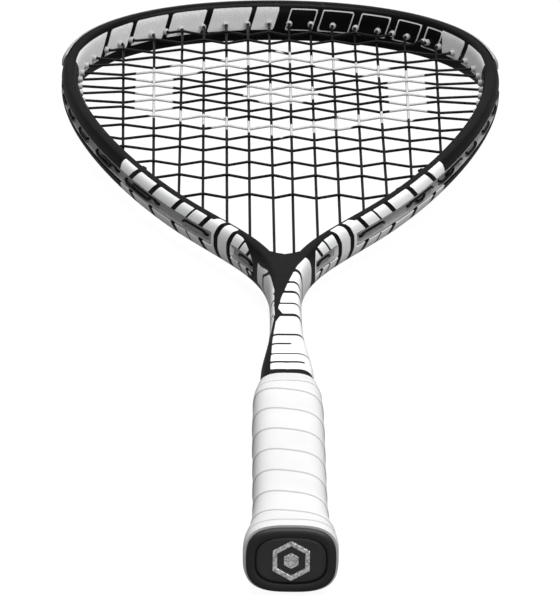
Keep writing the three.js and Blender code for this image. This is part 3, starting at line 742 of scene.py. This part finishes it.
STRING_SIDES = 10
BEND = 1.3  # how far before and after a corner a string bends
BEND_LIMIT = 0.45  # the same in shares of the straight runs beside the corner
STRAIGHT = 0.02  # a corner that turns less than this stays as it is
LOOP_STEP = 4.0  # between a loop's points


def rounded_corners(path):
    """Replaces each sharp corner of a path with a short bend."""
    result = [path[0]]
    for before, here, after in zip(path, path[1:], path[2:]):
        back, ahead = before - here, after - here
        turn = 1 + np.dot(unit(back), unit(ahead))
        if turn < STRAIGHT:
            result.append(here)
            continue
        cut = min(BEND, BEND_LIMIT * np.linalg.norm(back), BEND_LIMIT * np.linalg.norm(ahead))
        a, c = here + unit(back) * cut, here + unit(ahead) * cut
        for t in (0, 0.25, 0.5, 0.75, 1):
            result.append((1 - t) ** 2 * a + 2 * t * (1 - t) * here + t * t * c)
    return result + [path[-1]]


def add_tube(shape, path, radius):
    """A ring round every point of the path, each turned as little as possible from the last."""
    path = np.array(path)
    step = unit(np.diff(path, axis=0))
    heading = unit(np.concatenate([step[:1], step[:-1] + step[1:], step[-1:]]))
    angle = np.arange(STRING_SIDES) * 2 * math.pi / STRING_SIDES
    side = unit(np.cross(heading[0], [0.13, 0.21, 1]))
    rings = []
    for point, ahead in zip(path, heading):
        side = unit(side - ahead * np.dot(side, ahead))
        up = np.cross(ahead, side)
        rings.append(point + radius * (np.cos(angle)[:, None] * side + np.sin(angle)[:, None] * up))
    shape.add_rings(rings, along=np.repeat(run_along(path), STRING_SIDES))


def channel_run(start_hole, end_hole, up):
    """The string's way from one hole's outer end to another's, along the channel."""
    start, end = start_hole.along_hoop(), end_hole.along_hoop()
    way = math.copysign(LOOP_TURN, end - start)
    start, end = start + way, end - way
    steps = max(1, round(abs(end - start) / LOOP_STEP))
    run = [hoop.at(s, LOOP_OUT, up) for s in np.linspace(start, end, steps + 1)]
    return [start_hole.outer, *run, end_hole.outer]


KNOT = {"radius": 1.5, "length": 3.0, "turns": 2.4, "points": 34, "pull": 0.95, "start": 0.7,
        "narrow": 0.72, "end": 0.4}


def tie_off(last, tie, up):
    """Out through the last hole, along to a tie-off hole and back in, to where the knot ends."""
    knot_end = tie.inner + tie.inward() * (KNOT["radius"] + KNOT["length"])
    return [last.mouth(), *channel_run(last, tie, up), knot_end]


def add_knot(shape, tie):
    """A hitch: the string wound round itself more than twice, just inside the frame."""
    inward = tie.inward()
    side = unit(np.cross(inward, [0, 0, 1]))
    up = np.cross(side, inward)
    start = tie.inner + inward * KNOT["start"]
    turns = np.linspace(0, KNOT["turns"] * 2 * math.pi, KNOT["points"])
    share = turns / turns[-1]
    reach = share * (KNOT["length"] - KNOT["end"])
    radius = lerp(KNOT["narrow"], 1, np.sin(share * math.pi))
    path = [start + inward * r + w * (math.cos(a) * side + math.sin(a) * up)
            for a, r, w in zip(turns, reach, radius)]
    add_tube(shape, path, STRING_RADIUS * KNOT["pull"])


def main_x(i, y):
    """How far main i stands from the racket's axis at a y."""
    tip, foot = main_tips[i].mouth(), main_feet[i].mouth()
    return -lerp(foot[0], tip[0], (y - foot[1]) / (tip[1] - foot[1]))


CONTACT = 1.1  # half the length over which one string lies bent round another
FRAME_ROOM = 1.5  # no crossing lies nearer than this to a string's hole


def wave(points):
    """Three points at each crossing, so that the string is straight between its bends."""
    path = []
    for i, point in enumerate(points):
        back = unit(points[i - 1] - point) if i else None
        ahead = unit(points[i + 1] - point) if i + 1 < len(points) else None
        back = -ahead if back is None else back
        ahead = -back if ahead is None else ahead
        path += [point + back * CONTACT * [1, 1, 0.5], point, point + ahead * CONTACT * [1, 1, 0.5]]
    return path


def cross_rows():
    return [hole.mouth()[1] for hole in cross_ends]


def over(row, column):
    """True where a cross goes over a main. Columns count from the left."""
    return (row + column) % 2 == 0


def bed_main(side, i):
    """A main's points in the bed, from its tip to its foot, bent round the crosses."""
    tip, foot = main_tips[i].mouth(), main_feet[i].mouth()
    column = MAIN_PAIRS - 1 - i if side < 0 else MAIN_PAIRS + i
    points = []
    for row, y in enumerate(cross_rows()):
        if foot[1] + FRAME_ROOM < y < tip[1] - FRAME_ROOM:
            rise = -MAIN_RISE if over(row, column) else MAIN_RISE
            points.append(np.array([side * main_x(i, y), y, rise]))
    ends = [end * [-side, 1, 1] for end in (tip, foot)]
    return [ends[0], *wave(points), ends[1]]


def main_path(side):
    """One half of the mains, from the innermost main's tip to the tie-off beside the outermost."""
    def pick(hole):
        return hole if side < 0 else hole.across()

    path = []
    for i in range(MAIN_PAIRS):
        down = i % 2 == 0
        bed = bed_main(side, i)
        path += bed if down else bed[::-1]
        if i + 1 < MAIN_PAIRS:
            ends = (main_feet[i], main_feet[i + 1]) if down else (main_tips[i], main_tips[i + 1])
            path += channel_run(pick(ends[0]), pick(ends[1]), LOOP_SIDE)
    last = pick(main_feet[MAIN_PAIRS - 1])
    return path[:-1] + tie_off(last, pick(main_tie), LOOP_SIDE)


def make_main_string(material):
    shape = Shape()
    tip_loop = channel_run(main_tips[0], main_tips[0].across(), LOOP_SIDE)
    path = [*reversed(main_path(-1)), *tip_loop, *main_path(1)]
    add_tube(shape, rounded_corners(path), STRING_RADIUS)
    for tie in (main_tie, main_tie.across()):
        add_knot(shape, tie)
    new_piece("main_string_length", shape, material, ["main_string"])


def bed_cross(row):
    """A cross's points in the bed from left to right, over one main and under the next."""
    end = cross_ends[row].mouth()
    y = end[1]
    columns = [-main_x(i, y) for i in reversed(range(MAIN_PAIRS))]
    columns += [main_x(i, y) for i in range(MAIN_PAIRS)]
    points = []
    for column, x in enumerate(columns):
        if abs(x) < -end[0] - FRAME_ROOM:
            rise = CROSS_RISE if over(row, column) else -CROSS_RISE
            points.append(np.array([x, y, rise]))
    return [end, *wave(points), end * [-1, 1, 1]]


def make_cross_string(material):
    shape = Shape()
    path = []
    for row in range(CROSS_COUNT):
        from_left = row % 2 == 1
        bed = bed_cross(row)
        path += bed if from_left else bed[::-1]
        if row + 1 < CROSS_COUNT:
            here, following = cross_ends[row], cross_ends[row + 1]
            if from_left:
                here, following = here.across(), following.across()
            path += channel_run(here, following, -LOOP_SIDE)
    head = tie_off(cross_ends[0].across(), cross_tie_top, -LOOP_SIDE)
    tail = tie_off(cross_ends[-1].across(), cross_tie_bottom, -LOOP_SIDE)
    path = [*reversed(head), *path[1:-1], *tail]
    add_tube(shape, rounded_corners(path), STRING_RADIUS)
    for tie in (cross_tie_top, cross_tie_bottom):
        add_knot(shape, tie)
    new_piece("cross_string_length", shape, material, ["cross_string"])


# --- The handle ---

HANDLE_SIDES = 96


def handle_ring(y, width, height):
    angle = (np.arange(HANDLE_SIDES) + 0.5) * 2 * math.pi / HANDLE_SIDES
    section = superellipse(angle, width / 2, height / 2, HANDLE_SQUARENESS)
    section = np.concatenate([section, section[:1]])
    section = resampled(section, HANDLE_SIDES + 1)[:-1]
    return np.stack([-section[:, 0], np.full(HANDLE_SIDES, y), section[:, 1]], 1)


def grown(ring, amount):
    """A ring in a plane across Y, moved out along its own normals by an amount at each point."""
    ahead = np.roll(ring, -1, 0) - np.roll(ring, 1, 0)
    normal = unit(np.stack([ahead[:, 2], np.zeros(len(ring)), -ahead[:, 0]], 1))
    if np.dot(normal[0], ring[0] * [1, 0, 1]) < 0:
        normal = -normal
    return ring + normal * np.reshape(amount, (-1, 1))


# The tape's turns: their spacing, where the first one starts, the y of its cut start, the height
# and the width of an edge, the fall from edge to edge as a share of the height, how far the relief
# is sunk, the length over which it starts, and the whole wrap's thickness.
TAPE = {"pitch": 22.65, "phase": 0.139, "start_edge": 8.3, "step": 0.5, "lip": 1.1, "fall": 0.85,
        "sink": (0.6, 0.15), "run_in": 3, "wall": 1.2}
GRIP_STEP = 0.6
COLLAR_RINGS = 24
COLLAR_WALL = 0.9


def tape_phase(ring, y):
    """Where each point lies across the tape's width, from 0 at its lower edge to 1."""
    around = np.arctan2(ring[:, 0], ring[:, 2]) / (2 * math.pi)
    return (y / TAPE["pitch"] + around + TAPE["phase"]) % 1.0


def tape_relief(phase):
    """The tape's height over the turn beneath it: a soft edge, then a slow fall to the next."""
    lip = TAPE["lip"] / TAPE["pitch"]
    rise = np.sqrt(np.clip(1 - (1 - np.clip(phase / lip, 0, 1)) ** 2, 0, 1))
    return TAPE["step"] * (rise * (1 - TAPE["fall"] * phase) - TAPE["sink"][0])


def make_grip(material):
    shape = Shape()
    first, last = GRIP[0][0], GRIP[-1][0]
    outside, seams = [], []
    for y in np.arange(first, last + 0.01, GRIP_STEP):
        ring = handle_ring(y, *eased(GRIP, y))
        phase = tape_phase(ring, y)
        run_in = smoothstep(y, first, first + TAPE["run_in"])
        outside.append(grown(ring, tape_relief(phase) * run_in - TAPE["sink"][1]))
        # The distance to the nearest seam or to the tape's cut start, which places the painted shade
        # in those creases.
        seam = np.minimum(phase, 1 - phase) * TAPE["pitch"]
        seams.append(np.minimum(seam, abs(y - TAPE["start_edge"])))
    inside = [grown(handle_ring(y, width, height), -TAPE["wall"]) for y, width, height in GRIP]
    rings = [*outside, *reversed(inside)]
    seams += [np.full(HANDLE_SIDES, TAPE["pitch"])] * len(inside)
    shape.add_rings(rings, looped=True, seam=seams)
    new_piece("grip_wrap", shape, material, ["grip_tape"], 1.0)


def make_collar(material):
    shape = Shape()
    first, last = COLLAR[0][0], COLLAR[-1][0]
    outside = [handle_ring(y, *eased(COLLAR, y)) for y in np.linspace(first, last, COLLAR_RINGS)]
    inside = [handle_ring(y, width - 2 * COLLAR_WALL, height - 2 * COLLAR_WALL)
              for y, width, height in (COLLAR[0], COLLAR[-1])]
    shape.add_rings([*outside, *reversed(inside)], looped=True)
    new_piece("finishing_band", shape, material, ["finishing_tape"])


def make_cap(material):
    shape = Shape()
    recess, rim = CAP_RECESS, CAP["rim_y"]
    width, height = CAP["width"], CAP["height"]
    rings = [(recess["depth"], recess["width"] - 0.6, recess["height"] - 0.6),
             (recess["depth"], recess["width"] - 0.1, recess["height"] - 0.1),
             (0.5, recess["width"], recess["height"]),
             (0.12, recess["width"] + 0.25, recess["height"] + 0.25),
             (0.0, recess["width"] + 0.8, recess["height"] + 0.8),
             (0.0, width - 2.6, height - 2.6), (0.12, width - 1.6, height - 1.6),
             (0.45, width - 0.7, height - 0.7), (1.0, width - 0.15, height - 0.15),
             (1.5, width, height), (rim, width, height), (rim, width - 0.8, height - 0.8),
             (CAP["length"], 28.6, 24), (CAP["length"], 26.8, 22.2), (4.4, 26.8, 22.2)]
    shape.add_rings([handle_ring(*ring) for ring in rings])
    new_piece("butt_cap_shell", shape, material, ["butt_cap"])


def make_pad(material):
    shape = Shape()
    width, height = PAD["width"], PAD["height"]
    front, back = PAD["front_y"], PAD["back_y"]
    rings = [(back, width, height), (front + 0.45, width, height),
             (front + 0.15, width - 0.3, height - 0.3), (front, width - 1.0, height - 1.0)]
    for k in (0.9, 0.7, 0.4, 0.1):
        rings.append((front - 0.12 * (1 - k * k), (width - 1) * k, (height - 1) * k))
    shape.add_rings([handle_ring(*ring) for ring in rings])
    new_piece("butt_cap_inlay", shape, material, ["butt_cap_pad"])


BADGE_SIDES = 48


def hexagon(radius, y):
    angle = math.pi / 6 + np.arange(6) * math.pi / 3
    corners = np.stack([radius * np.cos(angle), np.full(6, y), radius * np.sin(angle)], 1)
    return resampled(np.concatenate([corners, corners[:1]]), BADGE_SIDES + 1)[:-1]


def make_emblem(material):
    """A plain hexagonal ring round a small solid hexagon."""
    shape = Shape()
    outer, edge, back = EMBLEM["radius"], EMBLEM["edge"], EMBLEM["back_y"]
    inner, solid = outer - EMBLEM["ring"], EMBLEM["core"]
    profile = [(outer, back), (outer, edge), (outer - edge, 0.0), (inner + edge, 0.0), (inner, edge),
               (inner, back)]
    shape.add_rings([hexagon(r, y) for r, y in profile], looped=True)
    core = [(solid, back), (solid, edge), (solid - edge, 0.0), (0.2, 0.0)]
    shape.add_rings([hexagon(r, y) for r, y in core])
    new_piece("butt_badge", shape, material, ["butt_emblem"], 0.5)


# --- Materials ---

class Shader:
    """One material's node tree, with a short method for each kind of node that it needs."""

    def __init__(self, name, **values):
        self.material = bpy.data.materials.new(name)
        self.material.use_nodes = True
        self.tree = self.material.node_tree
        self.main = self.tree.nodes["Principled BSDF"]
        for label, value in values.items():
            self.main.inputs[label.replace("_", " ")].default_value = value

    def feed(self, node, slot, value):
        if isinstance(value, bpy.types.NodeSocket):
            self.tree.links.new(value, node.inputs[slot])
        else:
            node.inputs[slot].default_value = value

    def node(self, kind, feeds=None, **settings):
        node = self.tree.nodes.new("ShaderNode" + kind)
        for label, value in settings.items():
            setattr(node, label, value)
        for slot, value in (feeds or {}).items():
            self.feed(node, slot, value)
        return node

    def math(self, operation, *values):
        feeds = dict(enumerate(values))
        return self.node("Math", feeds, operation=operation).outputs[0]

    def place(self):
        return self.node("TexCoord").outputs["Object"]

    def value(self, name):
        return self.node("Attribute", attribute_name=name).outputs["Fac"]

    def parts(self, vector):
        return self.node("SeparateXYZ", {0: vector}).outputs

    def stretched(self, vector, x, y, z):
        feeds = {0: vector, 1: (x, y, z)}
        return self.node("VectorMath", feeds, operation="MULTIPLY").outputs[0]

    def noise(self, vector, scale, detail=3.0, roughness=0.5):
        feeds = {"Vector": vector, "Scale": scale, "Detail": detail, "Roughness": roughness}
        return self.node("TexNoise", feeds).outputs[0]

    def range(self, value, low, high, to_low=0.0, to_high=1.0):
        feeds = {0: value, 1: low, 2: high, 3: to_low, 4: to_high}
        return self.node("MapRange", feeds, interpolation_type="SMOOTHSTEP").outputs[0]

    def mix(self, share, a, b):
        """A colour between two colours."""
        node = self.node("Mix", data_type="RGBA")
        self.feed(node, 0, share)
        for slot, value in ((6, a), (7, b)):
            self.feed(node, slot, (*value, 1) if isinstance(value, tuple) else value)
        return node.outputs[2]

    def color(self, socket):
        self.feed(self.main, "Base Color", socket)

    def clouds(self, scale, dark, light, smooth, rough, detail=4):
        """Soft clouds between two roughnesses, and as the output between two colours."""
        cloud = self.noise(self.place(), scale, detail)
        self.feed(self.main, "Roughness", self.range(cloud, 0.2, 0.8, smooth, rough))
        return self.mix(cloud, dark, light)

    def bump(self, *heights):
        """Raises the surface by heights, given as (socket, millimetres) pairs."""
        normal = None
        for height, depth in heights:
            node = self.node("Bump", {"Height": height, "Distance": depth * MM})
            if normal is not None:
                self.feed(node, "Normal", normal)
            normal = node.outputs[0]
        self.feed(self.main, "Normal", normal)


def lacquer_material():
    """Satin black lacquer with white blocks outside, and silver ones inside the tip."""
    shader = Shader("satin_lacquer", Specular_IOR_Level=0.08)
    place = shader.place()
    speck = shader.noise(place, 1400, 2)
    black = shader.clouds(60, (0.002, 0.002, 0.0022), (0.0045, 0.0045, 0.0048), 0.30, 0.40)
    chalk = shader.mix(shader.noise(place, 60, 4), (0.80, 0.805, 0.81), (0.88, 0.885, 0.89))
    # The silver print is made lighter towards the bottom: painted light from the floor below.
    height = shader.range(shader.parts(place)[2], -0.004, 0.009)
    foil = shader.mix(height, (0.88, 0.88, 0.89), (0.6, 0.6, 0.61))
    foil = shader.mix(shader.range(speck, 0.35, 0.65, 0, 0.35), foil, (1.0, 1.0, 1.0))
    white = shader.range(shader.value("white"), -0.1, 0.1)
    silver = shader.range(shader.value("silver"), -0.1, 0.1)
    line = shader.range(shader.math("ABSOLUTE", shader.value("outlined")), 0.2, 0.36, 0.8, 0.0)
    color = shader.mix(white, black, chalk)
    color = shader.mix(silver, color, foil)
    color = shader.mix(line, color, (0.8, 0.8, 0.8))
    scuff = shader.noise(shader.stretched(place, 1, 0.3, 1), 220, 5, 0.65)
    wear = shader.range(scuff, 0.62, 0.72, 0, 0.25)
    shader.color(shader.mix(wear, color, shader.mix(0.12, color, (0.5, 0.5, 0.5))))
    shader.bump((shader.noise(place, 900, 2), 0.02), (white, 0.02))
    return shader.material


def nylon_material(name, *clouds):
    """Grey nylon with soft clouds and a fine grain."""
    shader = Shader(name)
    shader.color(shader.clouds(*clouds))
    shader.bump((shader.noise(shader.place(), 1500, 2), 0.03))
    return shader.material


STENCIL = {"middle_y": 568, "outer": 70, "inner": 52, "core": 18, "edge": 0.4}


def string_material():
    """Black string with a fine twist, and a plain hexagon ring stencilled on the bed's middle."""
    shader = Shader("racket_string", Specular_IOR_Level=0.12)
    place = shader.place()
    x, y, _ = shader.parts(place)
    across = shader.math("ABSOLUTE", x)
    along = shader.math("ABSOLUTE", shader.math("SUBTRACT", y, STENCIL["middle_y"] * MM))
    slanted = shader.math("MULTIPLY_ADD", across, 0.5, shader.math("MULTIPLY", along, 1.1))
    reach = shader.math("MAXIMUM", across, slanted)
    edge = STENCIL["edge"]
    outer, inner, core = (
        shader.range(reach, (STENCIL[k] - edge) * MM, (STENCIL[k] + edge) * MM, 1, 0)
        for k in ("outer", "inner", "core"))
    ring = shader.math("SUBTRACT", outer, inner)
    worn = shader.range(shader.noise(place, 500, 4), 0.3, 0.5, 0.8, 1.0)
    paint = shader.math("MULTIPLY", shader.math("ADD", ring, core), worn)
    black = shader.clouds(300, (0.002, 0.002, 0.002), (0.005, 0.005, 0.005), 0.28, 0.4, 3)
    shader.color(shader.mix(paint, black, (0.6, 0.6, 0.61)))
    twist = shader.math("SINE", shader.math("MULTIPLY", shader.value("along"), 9.0))
    shader.bump((twist, 0.015), (shader.noise(place, 2500, 2), 0.02))
    return shader.material


def wrap_material(name, seam_shaded):
    """White polyurethane with a fine leather grain and light wear, and painted shade: grey in the
    creases along its seams.
    """
    shader = Shader(name, Specular_IOR_Level=0.2, Sheen_Weight=0.03)
    place = shader.place()
    color = shader.clouds(40, (0.64, 0.64, 0.645), (0.74, 0.74, 0.74), 0.55, 0.7, 5)
    smudge = shader.noise(shader.stretched(place, 1, 2.5, 1), 55, 6, 0.6)
    soil = shader.range(smudge, 0.58, 0.78, 0, 0.3)
    color = shader.mix(soil, color, (0.7, 0.7, 0.7))
    grain = shader.node("TexVoronoi", {"Vector": place, "Scale": 1500}).outputs["Distance"]
    # Painted shade: the tape is greyed in the creases where its turns overlap and at its cut start.
    if seam_shaded:
        seam = shader.range(shader.value("seam"), 0.25, 0.75, 0.75, 0)
        color = shader.mix(seam, color, (0.3, 0.3, 0.3))
    shader.color(color)
    shader.bump((grain, 0.06), (shader.noise(place, 2200, 3), 0.03))
    return shader.material


def foil_material():
    """Bright silver foil with a coarse glitter."""
    shader = Shader("silver_foil", Metallic=0.25)
    place = shader.place()
    flake = shader.node("TexVoronoi", {"Vector": place, "Scale": 1700}).outputs["Color"]
    glint = shader.range(shader.parts(flake)[0], 0.2, 0.8)
    shader.color(shader.mix(glint, (0.42, 0.42, 0.43), (0.98, 0.98, 0.99)))
    shader.feed(shader.main, "Roughness", shader.range(glint, 0, 1, 0.45, 0.2))
    shader.bump((glint, 0.03), (shader.noise(place, 2500, 2), 0.02))
    return shader.material


def plain_material(name, color, roughness, grain, **values):
    shader = Shader(name, **values)
    dark, light = (tuple(share * c for c in color) for share in (0.8, 1.2))
    shader.color(shader.clouds(70, dark, light, 0.85 * roughness, 1.15 * roughness))
    shader.bump((shader.noise(shader.place(), 1800, 2), grain))
    return shader.material


# --- Scene: the camera in millimetres and degrees, the floor and the lights in metres ---

CAMERA = {"elevation": 20.968, "turn": 0.675, "roll": 0.713, "distance": 2844.8,
          "aim": (-2.321, 293.90, 0.0), "lens": 388.70, "sensor": 36, "clip": (0.1, 30)}


def make_camera():
    data = bpy.data.cameras.new("camera")
    data.sensor_width = CAMERA["sensor"]
    data.lens = CAMERA["lens"]
    data.clip_start, data.clip_end = CAMERA["clip"]
    camera = bpy.data.objects.new("camera", data)
    elevation, turn, roll = (math.radians(CAMERA[k]) for k in ("elevation", "turn", "roll"))
    view = Vector((math.sin(turn) * math.cos(elevation), math.cos(turn) * math.cos(elevation),
                   -math.sin(elevation)))
    right = Vector((math.cos(turn), -math.sin(turn), 0))
    up = right.cross(view)
    x_axis = right * math.cos(roll) + up * math.sin(roll)
    y_axis = up * math.cos(roll) - right * math.sin(roll)
    turned = Matrix((x_axis, y_axis, -view)).transposed().to_4x4()
    at = (Vector(CAMERA["aim"]) - view * CAMERA["distance"]) * MM
    camera.matrix_world = Matrix.Translation(at) @ turned
    bpy.context.scene.collection.objects.link(camera)
    bpy.context.scene.camera = camera


FLOOR = {"half_size": 6.0, "gap": 0.0003, "seen": 0.94, "lighting": 0.1}


def make_floor():
    """A pale floor that is bright to the camera and gives the underside only a little light."""
    mesh = bpy.data.meshes.new("floor")
    size, level = FLOOR["half_size"], cad_bounds[0].z - FLOOR["gap"]
    corners = [(-size, -size, level), (size, -size, level), (size, size, level), (-size, size, level)]
    mesh.from_pydata(corners, [], [(0, 1, 2, 3)])
    shader = Shader("pale_floor", Roughness=0.9, Specular_IOR_Level=0.0)
    shader.main.inputs["Emission Color"].default_value = (1, 1, 1, 1)
    seen = shader.node("LightPath").outputs["Is Camera Ray"]
    glow = shader.range(seen, 0, 1, FLOOR["lighting"], FLOOR["seen"])
    shader.feed(shader.main, "Emission Strength", glow)
    cloud = shader.noise(shader.place(), 3, 2)
    shader.color(shader.mix(cloud, (0.09, 0.09, 0.09), (0.11, 0.11, 0.11)))
    mesh.materials.append(shader.material)
    floor = bpy.data.objects.new("floor", mesh)
    bpy.context.scene.collection.objects.link(floor)


def make_light(name, at, aim, width, height, power):
    data = bpy.data.lights.new(name, "AREA")
    data.shape = "RECTANGLE"
    data.size, data.size_y, data.energy = width, height, power
    lamp = bpy.data.objects.new(name, data)
    lamp.location = at
    lamp.rotation_euler = (Vector(aim) - Vector(at)).to_track_quat("-Z", "Y").to_euler()
    bpy.context.scene.collection.objects.link(lamp)


WORLD_STRENGTH = 0.22


def make_studio():
    world = bpy.data.worlds.new("studio")
    bpy.context.scene.world = world
    world.use_nodes = True
    background = world.node_tree.nodes["Background"]
    background.inputs["Color"].default_value = (1, 1, 1, 1)
    background.inputs["Strength"].default_value = WORLD_STRENGTH
    make_light("overhead_softbox", (0.4, 0.3, 2.4), (0, 0.35, 0), 2.2, 3.2, 98)
    make_light("front_fill", (0.4, -2.4, 0.9), (0, 0.2, 0), 1.0, 0.8, 14)
    make_light("back_strip", (0, 2.6, 1.1), (0, 0.5, 0), 2.4, 0.25, 1.5)
    bpy.context.scene.view_settings.view_transform = "Standard"


make_camera()
make_floor()
make_studio()

guard = nylon_material("guard_nylon", 90, (0.36, 0.36, 0.365), (0.48, 0.48, 0.485), 0.38, 0.55)
grommet = nylon_material("grommet_nylon", 150, (0.34, 0.34, 0.345), (0.46, 0.46, 0.465), 0.33, 0.5)
string = string_material()

make_frame(lacquer_material())
make_bumper(guard)
for label, (low, high) in {"side": SIDE_STRIP, "lower": LOWER_STRIP, "throat": THROAT_STRIP}.items():
    make_strip(label + "_grommet_strip_left", low, high, grommet)
    make_strip(label + "_grommet_strip_right", mirrored(high), mirrored(low), grommet)
make_main_string(string)
make_cross_string(string)
make_grip(wrap_material("grip_polyurethane", True))
make_collar(wrap_material("collar_polyurethane", False))
make_cap(plain_material("cap_plastic", (0.012, 0.012, 0.013), 0.55, 0.04))
make_pad(plain_material("inlay_plastic", (0.03, 0.03, 0.031), 0.45, 0.03))
make_emblem(foil_material())

CARRIED = {
    "handle_core": plain_material("moulded_foam", (0.62, 0.57, 0.42), 0.9, 0.3),
    "cap_staple_upper": plain_material("drawn_wire", (0.55, 0.55, 0.57), 0.3, 0.01, Metallic=1.0),
    "cap_staple_lower": plain_material("wire_below", (0.55, 0.55, 0.57), 0.3, 0.01, Metallic=1.0),
}
for label, material in CARRIED.items():
    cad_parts[label].data.materials.clear()
    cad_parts[label].data.materials.append(material)
